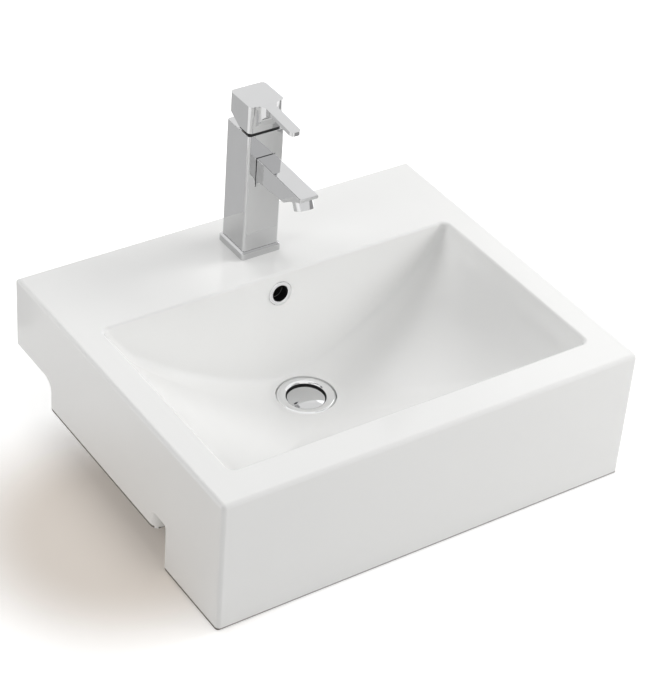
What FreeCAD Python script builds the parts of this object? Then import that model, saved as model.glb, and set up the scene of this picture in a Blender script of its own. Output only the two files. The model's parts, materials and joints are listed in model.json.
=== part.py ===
import FreeCAD, Part
import math
import os
import Sketcher

# Semi-recessed ceramic basin with a square single-lever mixer, an overflow and a push-open waste.
# Lengths are millimetres. +X is to the right, -Y to the front and +Z up.
# The origin is the middle of the rear rest ledge, on the plane of the counter.

doc = FreeCAD.newDocument("basin")
sheet = doc.addObject("Spreadsheet::Sheet", "sizes")

SIZES = {
    # Ceramic, outside
    "basin_width": 500,
    "basin_depth": 420,
    "skirt_height": 86,
    "skirt_depth": 77,
    "apron_height": 158,
    "apron_depth": 102,
    "slot_width": 20,
    "slot_drop": 15,
    "tub_drop": 37,
    "ceramic_wall": 12,
    "deck_thickness": 16,
    "edge_round": 5,
    "foot_round": 2,
    "skirt_round": 15,
    "tub_round": 3,
    "tub_corner": 11,
    "slot_round": 5,
    # Ceramic, bowl
    "bowl_width": 432,
    "deck_depth": 123,
    "front_rim": 43,
    "bowl_depth": 120,
    "bowl_corner": 8,
    "bowl_wall": 10,
    "floor_half": 37,
    "floor_corner": 33,
    "rim_round": 4,
    # Overflow
    "overflow_depth": 25,
    "overflow_bore": 9.4,
    "overflow_sleeve": 1.3,
    "overflow_flange": 14,
    "overflow_rise": 1.2,
    "overflow_sink": 0.6,
    "overflow_length": 11,
    "overflow_clearance": 0.3,
    "duct_width": 24,
    "duct_gap": 14,
    "duct_wall": 7,
    "duct_offset": 11,
    "duct_top": 15,
    "duct_cover": 10,
    # Drain and waste
    "drain_back": 187,
    "drain_clearance": 0.6,
    "boss_radius": 38,
    "boss_drop": 36,
    "flange_radius": 32.5,
    "flange_thickness": 3.5,
    "flange_dish": 2,
    "flange_clearance": 0.8,
    "gasket_thickness": 2,
    "gasket_radius": 31,
    "throat_radius": 21.9,
    "throat_wall": 1.5,
    "tube_radius": 20.9,
    "tube_wall": 2.5,
    "thread_length": 28,
    "thread_relief": 0.3,
    "thread_runout": 1,
    "thread_fit": 0.1,
    "window_width": 12,
    "window_height": 10,
    "hub_radius": 9,
    "hub_height": 10,
    "hub_depth": 32,
    "spoke_width": 4,
    "cone_height": 9,
    "cone_radius": 31,
    "cone_taper": 4,
    "slip_thickness": 2,
    "nut_height": 9,
    "nut_radius": 29,
    # Push plug
    "plug_clearance": 0.7,
    "plug_thickness": 4,
    "plug_crown": 2,
    "plug_sink": 0.2,
    "plug_seal_thickness": 2.2,
    "plug_seal_width": 3,
    "plug_seat_gap": 0.3,
    "plug_travel": 9,
    "plug_rod": 3,
    "plug_rod_grip": 2,
    "plug_rod_fit": 0.06,
    "cell_radius": 6.5,
    "cell_rise": 3,
    "cell_wall": 2,
    "coil_length": 12,
    "coil_wall": 1.6,
    # Tap, outside
    "tap_back": 60,
    "tap_hole": 17.5,
    "plate_side": 49,
    "plate_height": 9,
    "plate_bevel": 2.4,
    "plate_bore": 16.5,
    "seal_groove": 2,
    "seal_width": 3.5,
    "column_side": 44,
    "column_top": 152,
    "column_corner": 3,
    "spout_width": 22,
    "spout_reach": 107,
    "spout_top": 124,
    "spout_fall": 3,
    "spout_root": 97,
    "spout_under": 100,
    "spout_nose": 4,
    "spout_step": 79,
    "spout_relief": 7,
    "spout_round": 8,
    # Tap, waterways and fixing
    "chamber_floor": 114,
    "inlet_offset": 6.5,
    "inlet_back": 3,
    "inlet_bore": 2.6,
    "outlet_front": 6.5,
    "outlet_bore": 3,
    "channel_bore": 3.5,
    "channel_start": 107,
    "channel_end": 114,
    "port_radius": 4.5,
    "port_depth": 14,
    "stud_radius": 4,
    "stud_front": 9.5,
    "stud_grip": 14,
    "stud_tail": 14,
    "shoe_radius": 25,
    "shoe_slot": 13,
    "shoe_thickness": 2.5,
    "shoe_gasket": 2,
    "stud_nut_radius": 7.5,
    "stud_nut_height": 10,
    # Aerator
    "aerator_front": 95,
    "aerator_sink": 0.5,
    "aerator_radius": 11,
    "aerator_height": 10,
    "aerator_wall": 1.7,
    "aerator_lip": 1,
    "aerator_roof": 1.6,
    "spigot_radius": 8,
    "spigot_height": 3.5,
    "spigot_wall": 1.5,
    "aerator_washer": 1,
    "aerator_fit": 0.15,
    "jet_radius": 1.1,
    "jet_circle": 5.4,
    # Cartridge
    "cartridge_radius": 17.5,
    "cartridge_fit": 0.3,
    "base_seal_thickness": 1.5,
    "base_thickness": 4,
    "cartridge_wall": 3.5,
    "shoulder_height": 30,
    "neck_radius": 15.9,
    "neck_height": 6,
    "lip_height": 3,
    "lip_width": 1.5,
    "disc_thickness": 4,
    "disc_radius": 9.8,
    "disc_start": 3.4,
    "disc_bed_fit": 0.3,
    "pocket_depth": 2.6,
    "rotor_fit": 0.3,
    "rotor_gap": 3.5,
    "slot_clearance": 0.5,
    "slot_rear": 8.6,
    "slot_front": 9.9,
    "pivot_height": 142,
    "pin_radius": 1.5,
    "pin_fit": 0.05,
    "stem_side": 8,
    "stem_foot": 126,
    "stem_foot_side": 5,
    "stem_foot_height": 5,
    "stem_clearance": 0.6,
    # Handle
    "cap_width": 42,
    "cap_length": 41,
    "cap_bottom": 154.5,
    "cap_height": 31.5,
    "cap_relief": 11.5,
    "cap_corner": 5,
    "cap_wall": 4,
    "cap_hollow": 8.5,
    "socket_depth": 17,
    "socket_fit": 0.05,
    "lever_width": 12.5,
    "lever_reach": 76,
    "lever_fall": 4.2,
    "lever_thickness": 4.5,
    "lever_flare": 9,
    "lever_arch": 20,
    "lever_tip_round": 4,
    "grub_radius": 2.5,
    "grub_length": 8,
    "grub_height": 14,
    "cover_radius": 3.2,
    "cover_length": 3,
    "glide_thickness": 1,
    "glide_inset": 3,
    "glide_width": 3,
    "glide_rear": 1,
}

# Shares of the bowl's depth at which its outline is drawn
BOWL_STEPS = (0, 0.25, 0.5, 0.72, 0.88, 0.97, 1)
BOWL_FLATNESS = 1.5
BOWL_FULLNESS = 0.75

# Length by which a cutting tool runs past the face that it leaves
OVERRUN = 5

LEFT_TURN = 1
RIGHT_TURN = -1

LEFT_SIDE = -1
RIGHT_SIDE = 1

pieces = []


class Size:
    """A length that knows its value and the sheet formula behind it."""

    def __init__(self, value, formula):
        self.value = float(value)
        self.formula = formula

    def __float__(self):
        return self.value

    def __neg__(self):
        return Size(-self.value, f"(-{self.formula})")

    def __add__(self, other):
        other = as_size(other)
        return Size(self.value + other.value, f"({self.formula} + {other.formula})")

    def __sub__(self, other):
        other = as_size(other)
        return Size(self.value - other.value, f"({self.formula} - {other.formula})")

    def __mul__(self, other):
        other = as_size(other)
        return Size(self.value * other.value, f"({self.formula} * {other.formula})")

    def __truediv__(self, other):
        other = as_size(other)
        return Size(self.value / other.value, f"({self.formula} / {other.formula})")

    def __pow__(self, power):
        return Size(self.value ** power, f"({self.formula} ^ {power})")

    def __radd__(self, other):
        return as_size(other) + self

    def __rsub__(self, other):
        return as_size(other) - self

    def __rmul__(self, other):
        return as_size(other) * self


def as_size(number):
    """Return a size for a plain number, or the size itself."""
    if isinstance(number, Size):
        return number
    return Size(number, f"({float(number)})")


class SizeTable:
    """The driving dimensions, as sizes tied to the cells of the sheet."""

    def __init__(self, values):
        for row, (name, value) in enumerate(values.items(), start=1):
            sheet.set(f"A{row}", name)
            sheet.set(f"B{row}", str(value))
            sheet.setAlias(f"B{row}", name)
            setattr(self, name, Size(value, f"{sheet.Name}.{name}"))


d = SizeTable(SIZES)
doc.recompute()


def bind(item, prop, size):
    """Tie one property of an object to the sheet."""
    item.setExpression(prop, as_size(size).formula)


def place(item, seat):
    """Tie the position of an object to the sheet."""
    for axis, size in zip("xyz", seat):
        bind(item, f"Placement.Base.{axis}", size)


def finish(item, name, seat=(0, 0, 0)):
    """Name a finished piece and set it on its seat."""
    item.Label = name
    place(item, seat)
    pieces.append(item)
    return item


# Outlines


def arc_between(start, end, radius, turn):
    """Return the minor arc from start to end that bends to the left or to the right."""
    chord = end - start
    half = chord.Length / 2
    height = math.sqrt(max(radius ** 2 - half ** 2, 0))
    across = FreeCAD.Vector(-chord.y, chord.x, 0).normalize()
    centre = (start + end) * 0.5 + across * (height * turn)
    first, last = (start, end) if turn == LEFT_TURN else (end, start)
    circle = Part.Circle(centre, FreeCAD.Vector(0, 0, 1), radius)
    first_angle = math.atan2(first.y - centre.y, first.x - centre.x)
    last_angle = math.atan2(last.y - centre.y, last.x - centre.x)
    if last_angle <= first_angle:
        last_angle += 2 * math.pi
    return Part.ArcOfCircle(circle, first_angle, last_angle)


def pin_coordinate(sketch, kind, axis, geometry, end, size):
    """Hold one coordinate of an outline's corner on its axis or at its size."""
    size = as_size(size)
    if size.value == 0:
        sketch.addConstraint(Sketcher.Constraint("PointOnObject", geometry, end, axis))
        return
    index = sketch.addConstraint(Sketcher.Constraint(kind, -1, 1, geometry, end, size.value))
    sketch.setExpression(f"Constraints[{index}]", size.formula)


def draw(sketch, corners):
    """Draw a closed outline; a corner is (x, y), or (x, y, radius, turn) at the end of an arc."""
    ends = []
    for index, corner in enumerate(corners):
        before = corners[index - 1]
        start = FreeCAD.Vector(float(before[0]), float(before[1]), 0)
        end = FreeCAD.Vector(float(corner[0]), float(corner[1]), 0)
        if len(corner) == 2:
            sketch.addGeometry(Part.LineSegment(start, end), False)
            ends.append((1, 2))
        else:
            turn = corner[3]
            sketch.addGeometry(arc_between(start, end, float(corner[2]), turn), False)
            ends.append((1, 2) if turn == LEFT_TURN else (2, 1))
    for index, corner in enumerate(corners):
        follower = (index + 1) % len(corners)
        last = ends[index][1]
        sketch.addConstraint(Sketcher.Constraint("Coincident", index, last, follower, ends[follower][0]))
        pin_coordinate(sketch, "DistanceX", -2, index, last, corner[0])
        pin_coordinate(sketch, "DistanceY", -1, index, last, corner[1])
        if len(corner) > 2:
            radius = as_size(corner[2])
            held = sketch.addConstraint(Sketcher.Constraint("Radius", index, radius.value))
            sketch.setExpression(f"Constraints[{held}]", radius.formula)
    return sketch


def rectangle(left, right, low, high):
    """Return the corners of a rectangle."""
    return [(right, low), (right, high), (left, high), (left, low)]


def rounded(left, right, low, high, corner):
    """Return the corners of a rectangle with round corners."""
    return [
        (right - corner, low),
        (right, low + corner, corner, LEFT_TURN),
        (right, high - corner),
        (right - corner, high, corner, LEFT_TURN),
        (left + corner, high),
        (left, high - corner, corner, LEFT_TURN),
        (left, low + corner),
        (left + corner, low, corner, LEFT_TURN),
    ]


# Solids


def origin_plane(body, role):
    """Return one of a body's own origin planes."""
    return next(item for item in body.Origin.OriginFeatures if item.Role == role)


def turned(name, corners):
    """Return a body turned about its own Z axis from an outline of radius and height."""
    body = doc.addObject("PartDesign::Body", name)
    section = body.newObject("Sketcher::SketchObject", f"{name}_section")
    section.AttachmentSupport = [(origin_plane(body, "XZ_Plane"), "")]
    section.MapMode = "FlatFace"
    draw(section, corners)
    turn = body.newObject("PartDesign::Revolution", f"{name}_turn")
    turn.Profile = section
    turn.ReferenceAxis = (section, ["V_Axis"])
    turn.Angle = 360
    body.Tip = turn
    return body


def ring(name, inner, outer, low, high):
    """Return a plain ring about the Z axis."""
    return turned(name, rectangle(inner, outer, low, high))


def padded(name, corners, low, high):
    """Return a body padded upwards from an outline seen from above."""
    body = doc.addObject("PartDesign::Body", name)
    plan = body.newObject("Sketcher::SketchObject", f"{name}_plan")
    plan.AttachmentSupport = [(origin_plane(body, "XY_Plane"), "")]
    plan.MapMode = "FlatFace"
    bind(plan, "AttachmentOffset.Base.z", low)
    draw(plan, corners)
    pad = body.newObject("PartDesign::Pad", f"{name}_pad")
    pad.Profile = plan
    bind(pad, "Length", as_size(high) - low)
    body.Tip = pad
    return body


def side_prism(name, corners, width):
    """Return a prism across the object from an outline of Y and Z."""
    side = doc.addObject("Sketcher::SketchObject", f"{name}_side")
    side.Placement.Rotation = FreeCAD.Rotation(FreeCAD.Vector(1, 1, 1), 120)
    draw(side, corners)
    prism = doc.addObject("Part::Extrusion", name)
    prism.Base = side
    prism.DirMode = "Normal"
    prism.Solid = True
    prism.Symmetric = True
    bind(prism, "LengthFwd", width)
    return prism


def box(name, left, right, front, rear, low, high):
    """Return a box between two limits on each axis."""
    item = doc.addObject("Part::Box", name)
    bind(item, "Length", as_size(right) - left)
    bind(item, "Width", as_size(rear) - front)
    bind(item, "Height", as_size(high) - low)
    place(item, (left, front, low))
    return item


def rod(name, radius, low, high, x=0, y=0):
    """Return an upright cylinder."""
    item = doc.addObject("Part::Cylinder", name)
    bind(item, "Radius", radius)
    bind(item, "Height", as_size(high) - low)
    place(item, (x, y, low))
    return item


def rod_along_y(name, radius, front, rear, x, z):
    """Return a level cylinder that runs from the rear to the front."""
    item = doc.addObject("Part::Cylinder", name)
    item.Placement.Rotation = FreeCAD.Rotation(FreeCAD.Vector(1, 0, 0), 90)
    bind(item, "Radius", radius)
    bind(item, "Height", as_size(rear) - front)
    place(item, (x, rear, z))
    return item


def rod_along_x(name, radius, left, right, y, z):
    """Return a level cylinder that runs from the left to the right."""
    item = doc.addObject("Part::Cylinder", name)
    item.Placement.Rotation = FreeCAD.Rotation(FreeCAD.Vector(0, 1, 0), 90)
    bind(item, "Radius", radius)
    bind(item, "Height", as_size(right) - left)
    place(item, (left, y, z))
    return item


def hexagon(name, radius, low, high, y=0):
    """Return an upright six-sided prism."""
    item = doc.addObject("Part::Prism", name)
    item.Polygon = 6
    bind(item, "Circumradius", radius)
    bind(item, "Height", as_size(high) - low)
    place(item, (0, y, low))
    return item


def fuse(name, *solids):
    """Return the union of several solids."""
    item = doc.addObject("Part::MultiFuse", name)
    item.Shapes = list(solids)
    return item


def cut(name, base, *tools):
    """Return a solid with each of the tools taken out in turn."""
    for index, tool in enumerate(tools, start=1):
        result = doc.addObject("Part::Cut", name if index == len(tools) else f"{name}_cut")
        result.Base = base
        result.Tool = tool
        base = result
    return base


def common(name, first, second):
    """Return what two solids share."""
    item = doc.addObject("Part::Common", name)
    item.Base = first
    item.Tool = second
    return item


def fillet(name, base, radius, wanted):
    """Return a solid with the wanted edges rounded."""
    doc.recompute()
    item = doc.addObject("Part::Fillet", name)
    item.Base = base
    item.Edges = [
        (index, float(radius), float(radius))
        for index, edge in enumerate(base.Shape.Edges, start=1)
        if wanted(edge)
    ]
    return item


def chamfer(name, base, width, wanted):
    """Return a solid with the wanted edges bevelled."""
    doc.recompute()
    item = doc.addObject("Part::Chamfer", name)
    item.Base = base
    item.Edges = [
        (index, float(width), float(width))
        for index, edge in enumerate(base.Shape.Edges, start=1)
        if wanted(edge)
    ]
    return item


def lies_at(edge, **limits):
    """Tell whether an edge lies wholly at the given coordinates."""
    span = edge.BoundBox
    near = 0.01
    return all(
        abs(getattr(span, f"{axis}Min") - float(size)) < near
        and abs(getattr(span, f"{axis}Max") - float(size)) < near
        for axis, size in limits.items()
    )


# Main planes of the ceramic

half_width = d.basin_width / 2
rear_y = d.ceramic_wall / 2
front_y = rear_y - d.basin_depth
top_z = d.skirt_height
apron_rear_y = front_y + d.apron_depth
apron_foot_z = top_z - d.apron_height
tub_front_y = apron_rear_y + d.slot_width
tub_rear_y = rear_y - d.skirt_depth
tub_foot_z = -d.tub_drop
slot_roof_z = -d.slot_drop
bowl_back_y = rear_y - d.deck_depth
bowl_front_y = front_y + d.front_rim
floor_z = top_z - d.bowl_depth
drain_y = rear_y - d.drain_back
tap_y = rear_y - d.tap_back

drain_seat = (0, drain_y, floor_z)
deck_seat = (0, tap_y, top_z)

cup_radius = d.throat_radius + d.throat_wall
drain_hole = cup_radius + d.drain_clearance
boss_foot_z = floor_z - d.boss_drop
duct_roof_z = floor_z - d.duct_cover
duct_floor_z = duct_roof_z - d.duct_gap


# Basin


def bowl_share(step):
    """Return the share of the bowl's opening that is left at a share of its depth."""
    return (1 - step ** BOWL_FLATNESS) ** BOWL_FULLNESS


def bowl_limits(step, grow):
    """Return the half width, the front, the back and the corner of the bowl at one step."""
    share = bowl_share(step)
    half = d.floor_half + (d.bowl_width / 2 - d.floor_half) * share
    floor_front = drain_y - d.floor_half
    floor_back = drain_y + d.floor_half
    front = floor_front + (bowl_front_y - floor_front) * share
    back = floor_back + (bowl_back_y - floor_back) * share
    corner = d.floor_corner + (d.bowl_corner - d.floor_corner) * share
    return half + grow, front - grow, back + grow, corner + grow


def bowl_form(name, grow):
    """Return the bowl's inner form, or its outer form when it grows by a wall."""
    sections = []
    for step in BOWL_STEPS:
        half, front, back, corner = bowl_limits(step, grow)
        section = doc.addObject("Sketcher::SketchObject", f"{name}_section")
        draw(section, rounded(-half, half, front, back, corner))
        bind(section, "Placement.Base.z", top_z - (d.bowl_depth + grow) * step)
        sections.append(section)
    form = doc.addObject("Part::Loft", name)
    form.Sections = sections
    form.Solid = True
    form.Ruled = False
    return form


def tub_corner_waste(side):
    """Return what is taken off one front corner of the tub, to round it up to the slot's roof."""
    corner = d.tub_corner
    flare = d.slot_round
    low = tub_foot_z - OVERRUN
    inner = half_width - corner
    outer = half_width + OVERRUN
    left, right = (inner, outer) if side == RIGHT_SIDE else (-outer, -inner)
    blank = box("tub_corner_blank", left, right, tub_front_y - flare, tub_front_y + corner, low, slot_roof_z)
    post = turned("tub_corner_post", [
        (corner, low),
        (corner, slot_roof_z - flare),
        (corner + flare, slot_roof_z, flare, RIGHT_TURN),
        (0, slot_roof_z),
        (0, low),
    ])
    place(post, (inner * side, tub_front_y + corner, 0))
    return cut("tub_corner_waste", blank, post)


def basin_block():
    """Return the solid block of the basin, seen from the side, with its outer edges rounded."""
    round_tub = d.tub_round
    round_skirt = d.skirt_round
    round_slot = d.slot_round
    round_foot = d.foot_round
    side = [
        (rear_y - round_foot, 0),
        (rear_y, round_foot, round_foot, LEFT_TURN),
        (rear_y, top_z),
        (front_y, top_z),
        (front_y, apron_foot_z + round_foot),
        (front_y + round_foot, apron_foot_z, round_foot, LEFT_TURN),
        (apron_rear_y - round_foot, apron_foot_z),
        (apron_rear_y, apron_foot_z + round_foot, round_foot, LEFT_TURN),
        (apron_rear_y, slot_roof_z - round_slot),
        (apron_rear_y + round_slot, slot_roof_z, round_slot, RIGHT_TURN),
        (tub_front_y - round_slot, slot_roof_z),
        (tub_front_y, slot_roof_z - round_slot, round_slot, RIGHT_TURN),
        (tub_front_y, tub_foot_z + round_tub),
        (tub_front_y + round_tub, tub_foot_z, round_tub, LEFT_TURN),
        (tub_rear_y - round_tub, tub_foot_z),
        (tub_rear_y, tub_foot_z + round_tub, round_tub, LEFT_TURN),
        (tub_rear_y, -round_skirt),
        (tub_rear_y + round_skirt, 0, round_skirt, RIGHT_TURN),
    ]
    block = side_prism("basin_blank", side, d.basin_width)

    def outer_edge(edge):
        sides = (half_width, -half_width)
        upright = any(lies_at(edge, X=x, Y=front_y) for x in sides)
        along = any(lies_at(edge, X=x, Z=top_z) for x in sides)
        across = lies_at(edge, Y=front_y, Z=top_z) or lies_at(edge, Y=rear_y, Z=top_z)
        return upright or along or across

    softened = fillet("basin_softened_block", block, d.edge_round, outer_edge)
    return cut("basin_block", softened, tub_corner_waste(LEFT_SIDE), tub_corner_waste(RIGHT_SIDE))


def basin_hollow(bowl_shell, duct_shell, boss):
    """Return the space under the deck, round the bowl's shell, open below."""
    wall = d.ceramic_wall
    low = boss_foot_z - OVERRUN
    apron_low = apron_foot_z - OVERRUN
    side = [
        (rear_y - wall, low),
        (rear_y - wall, top_z - d.deck_thickness),
        (front_y + wall, top_z - d.deck_thickness),
        (front_y + wall, apron_low),
        (apron_rear_y - wall, apron_low),
        (apron_rear_y - wall, slot_roof_z + wall),
        (tub_front_y + wall, slot_roof_z + wall),
        (tub_front_y + wall, low),
    ]
    space = side_prism("under_space", side, d.basin_width - wall * 2)
    return cut("under_hollow", space, bowl_shell, duct_shell, boss)


def overflow_frame():
    """Return the point on the bowl's back wall and the wall's lean at the overflow."""
    step = d.overflow_depth / d.bowl_depth
    back = bowl_limits(step, 0)[2]
    small = 0.01
    lower = bowl_limits(float(step) + small, 0)[2]
    upper = bowl_limits(float(step) - small, 0)[2]
    run = float(upper) - float(lower)
    fall = 2 * small * float(d.bowl_depth)
    return (0, back, top_z - d.overflow_depth), math.degrees(math.atan2(run, fall))


def lean_on_wall(item):
    """Set a piece that is turned about Z square on the bowl's back wall."""
    seat, lean = overflow_frame()
    item.Placement.Rotation = FreeCAD.Rotation(FreeCAD.Vector(1, 0, 0), 90 - lean)
    place(item, seat)
    return item


def build_basin():
    """Build the ceramic, with its bowl, overflow duct, tap hole and drain."""
    bowl = bowl_form("bowl_space", 0)
    shell = bowl_form("bowl_shell", d.bowl_wall)
    duct_front = bowl_back_y + d.duct_offset
    duct_rear = duct_front + d.duct_gap
    duct_high = top_z - d.duct_top
    half_duct = d.duct_width / 2
    wall = d.duct_wall
    duct_shell = fuse(
        "duct_shell",
        box("duct_shell_upright", -half_duct - wall, half_duct + wall, duct_front - wall * 2,
            duct_rear + wall, duct_floor_z - wall, duct_high + wall),
        box("duct_shell_level", -half_duct - wall, half_duct + wall, drain_y,
            duct_rear + wall, duct_floor_z - wall, duct_roof_z + wall),
    )
    duct_space = fuse(
        "duct_space",
        box("duct_upright", -half_duct, half_duct, duct_front, duct_rear, duct_floor_z, duct_high),
        box("duct_level", -half_duct, half_duct, drain_y, duct_rear, duct_floor_z, duct_roof_z),
    )
    boss = rod("drain_boss", d.boss_radius, boss_foot_z, floor_z, 0, drain_y)
    hollow = basin_hollow(shell, duct_shell, boss)
    under_tub = box("under_tub", -half_width, half_width, front_y, rear_y, boss_foot_z, tub_foot_z)
    bowl_base = common("bowl_base", shell, under_tub)
    drain_shell = fuse("drain_shell", boss, duct_shell, bowl_base)
    body = fuse("basin_solid", basin_block(), cut("drain_block", drain_shell, bowl))
    seat_depth = d.flange_thickness + d.gasket_thickness
    sleeve = d.overflow_bore + d.overflow_sleeve
    overflow_hole = turned("overflow_hole", rectangle(
        0, sleeve + d.overflow_clearance, -d.duct_offset - d.duct_gap / 2, OVERRUN))
    overflow_seat = turned("overflow_seat", rectangle(
        0, d.overflow_flange + d.overflow_clearance, -d.overflow_sink, OVERRUN))
    opened = cut("basin_opened", body, bowl, hollow, duct_space)

    def rim_edge(edge):
        return lies_at(edge, Z=top_z) and edge.BoundBox.YMax < float(bowl_back_y) + 1 \
            and edge.BoundBox.YMin > float(bowl_front_y) - 1 \
            and edge.BoundBox.XMax < float(d.bowl_width) / 2 + 1 \
            and edge.BoundBox.XMin > -float(d.bowl_width) / 2 - 1

    softened = fillet("basin_softened", opened, d.rim_round, rim_edge)
    basin = cut(
        "basin",
        softened,
        rod("tap_hole", d.tap_hole, top_z - d.deck_thickness - OVERRUN, top_z + OVERRUN, 0, tap_y),
        rod("drain_hole", drain_hole, boss_foot_z - OVERRUN, floor_z + OVERRUN, 0, drain_y),
        rod("flange_seat", d.flange_radius + d.flange_clearance, floor_z - seat_depth,
            floor_z + OVERRUN, 0, drain_y),
        lean_on_wall(overflow_hole),
        lean_on_wall(overflow_seat),
    )
    finish(basin, "basin_body")


def build_overflow_ring():
    """Build the overflow's flanged ring."""
    bore = d.overflow_bore
    sleeve = bore + d.overflow_sleeve
    rim = d.overflow_flange
    body = turned("overflow_ring", [
        (sleeve, -d.overflow_length),
        (sleeve, -d.overflow_sink),
        (rim, -d.overflow_sink),
        (rim, d.overflow_sink),
        (rim - d.overflow_sink, d.overflow_rise),
        (bore + d.overflow_sink, d.overflow_rise),
        (bore, d.overflow_sink),
        (bore, -d.overflow_length),
    ])
    lean_on_wall(body)
    pieces.append(body)


# Waste and push plug, measured from the bowl's floor on the drain's axis

tube_bore = d.tube_radius - d.tube_wall
gasket_top = -d.flange_thickness
plug_radius = d.throat_radius - d.plug_clearance
plug_top = -d.plug_sink
plug_under = plug_top - d.plug_crown - d.plug_thickness
seal_under = plug_under - d.plug_seal_thickness
throat_floor = seal_under - d.plug_seat_gap
cup_foot = throat_floor - d.throat_wall * 2
boss_foot = -d.boss_drop
cone_foot = boss_foot - d.cone_height
slip_foot = cone_foot - d.slip_thickness
nut_foot = slip_foot - d.nut_height
thread_top = nut_foot - d.thread_runout
tube_foot = nut_foot - d.thread_length
hub_top = -d.hub_depth
hub_foot = hub_top - d.hub_height
window_middle = -d.duct_cover - d.duct_gap / 2
guide_foot = hub_foot + d.cell_rise
rod_foot = guide_foot - d.plug_travel - d.plug_rod_grip
coil_foot = rod_foot - d.coil_length
cell_foot = coil_foot - d.cell_wall


def build_waste():
    """Build the flanged waste, its gasket and the washers and nut that clamp it."""
    flange = d.flange_radius
    bevel = d.flange_thickness / 3
    shell = turned("waste_shell", [
        (d.tube_radius, tube_foot),
        (d.tube_radius, thread_top),
        (d.tube_radius - d.thread_relief, thread_top),
        (d.tube_radius - d.thread_relief, cup_foot),
        (cup_radius, cup_foot),
        (cup_radius, gasket_top),
        (flange, gasket_top),
        (flange, -bevel),
        (flange - bevel, 0, bevel, LEFT_TURN),
        (flange - bevel * 3, 0),
        (d.throat_radius, -d.flange_dish),
        (d.throat_radius, throat_floor),
        (tube_bore, throat_floor),
        (tube_bore, tube_foot),
    ])
    half = d.window_width / 2
    low = window_middle - d.window_height / 2
    high = window_middle + d.window_height / 2
    reach = d.tube_radius + OVERRUN
    windowed = cut(
        "waste_windowed",
        shell,
        box("window_across", -reach, reach, -half, half, low, high),
        box("window_along", -half, half, -reach, reach, low, high),
    )
    spoke = d.spoke_width / 2
    grip = tube_bore + d.tube_wall / 2
    spider = fuse(
        "waste_spider",
        windowed,
        rod("waste_hub", d.hub_radius, hub_foot, hub_top),
        box("spoke_across", -grip, grip, -spoke, spoke, hub_foot, hub_top),
        box("spoke_along", -spoke, spoke, -grip, grip, hub_foot, hub_top),
    )
    waste = cut("waste", spider, rod("hub_bore", d.cell_radius, hub_foot - OVERRUN, hub_top + OVERRUN))
    finish(waste, "waste_body", drain_seat)

    thread = d.tube_radius + d.thread_fit
    gasket = ring("gasket", drain_hole, d.gasket_radius, gasket_top - d.gasket_thickness, gasket_top)
    finish(gasket, "waste_gasket", drain_seat)
    cone = turned("cone_washer", [
        (d.cone_radius - d.cone_taper, cone_foot),
        (d.cone_radius, boss_foot),
        (thread, boss_foot),
        (thread, cone_foot),
    ])
    finish(cone, "waste_cone_washer", drain_seat)
    slip = ring("slip_washer", thread, d.cone_radius - d.cone_taper, slip_foot, cone_foot)
    finish(slip, "waste_slip_washer", drain_seat)
    nut = cut(
        "waste_nut",
        hexagon("waste_nut_blank", d.nut_radius, nut_foot, slip_foot),
        rod("waste_nut_bore", thread, nut_foot - OVERRUN, slip_foot + OVERRUN),
    )
    finish(nut, "waste_locknut", drain_seat)


def build_plug():
    """Build the push plug: domed cap, seal, rod, click cell and coil."""
    edge = plug_top - d.plug_crown
    crown = (plug_radius ** 2 + d.plug_crown ** 2) / (d.plug_crown * 2)
    cap = turned("plug_dome", [
        (0, plug_under),
        (plug_radius, plug_under),
        (plug_radius, edge),
        (0, plug_top, crown, LEFT_TURN),
    ])
    finish(cap, "plug_cap", drain_seat)
    seal = ring("plug_ring", plug_radius - d.plug_seal_width - d.throat_wall, plug_radius - d.throat_wall / 2,
                seal_under, plug_under)
    finish(seal, "plug_seal", drain_seat)
    shaft = rod("plug_shaft", d.plug_rod, rod_foot, plug_under)
    finish(shaft, "plug_rod", (0, drain_y, floor_z + rod_foot))
    guide = d.plug_rod + d.plug_rod_fit
    inside = d.cell_radius - d.cell_wall
    cell_top = hub_top + d.cell_rise
    cell = turned("click_cell", [
        (d.cell_radius, cell_foot),
        (d.cell_radius, hub_top),
        (d.hub_radius, hub_top),
        (d.hub_radius, cell_top),
        (guide, cell_top),
        (guide, guide_foot),
        (inside, guide_foot),
        (inside, coil_foot),
        (0, coil_foot),
        (0, cell_foot),
    ])
    finish(cell, "plug_click_cell", drain_seat)
    coil_outer = inside - d.plug_rod_fit
    coil = ring("click_coil", coil_outer - d.coil_wall, coil_outer, coil_foot, rod_foot)
    finish(coil, "plug_spring", drain_seat)


# Tap, measured from the deck on the tap's axis

half_column = d.column_side / 2
plate_top = d.plate_height
chamber = d.cartridge_radius + d.cartridge_fit
deck_under = -d.deck_thickness
gasket_foot = deck_under - d.shoe_gasket
shoe_foot = gasket_foot - d.shoe_thickness
stud_nut_foot = shoe_foot - d.stud_nut_height
nose_rear = d.spout_step + d.spout_relief
nose_foot = d.spout_under + d.spout_relief
nose_top = d.spout_top - d.spout_fall - d.spout_nose
nose_run = d.spout_reach - nose_rear
nose_rise = nose_top - nose_foot
nose_lean = math.atan2(float(nose_rise), float(nose_run))
aerator_y = -d.aerator_front
aerator_seat = nose_foot + nose_rise * (d.aerator_front - nose_rear) / nose_run + d.aerator_sink


def stand_on_nose(item, origin=(0, 0, 0), height=0):
    """Set an upright piece square on the spout's sloping nose, its foot at a height over the aerator's seat."""
    x, y, z = origin
    along = as_size(height)
    item.Placement.Rotation = FreeCAD.Rotation(FreeCAD.Vector(1, 0, 0), -math.degrees(nose_lean))
    place(item, (
        x,
        y + aerator_y + along * math.sin(nose_lean),
        z + aerator_seat + along * math.cos(nose_lean),
    ))
    return item


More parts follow.
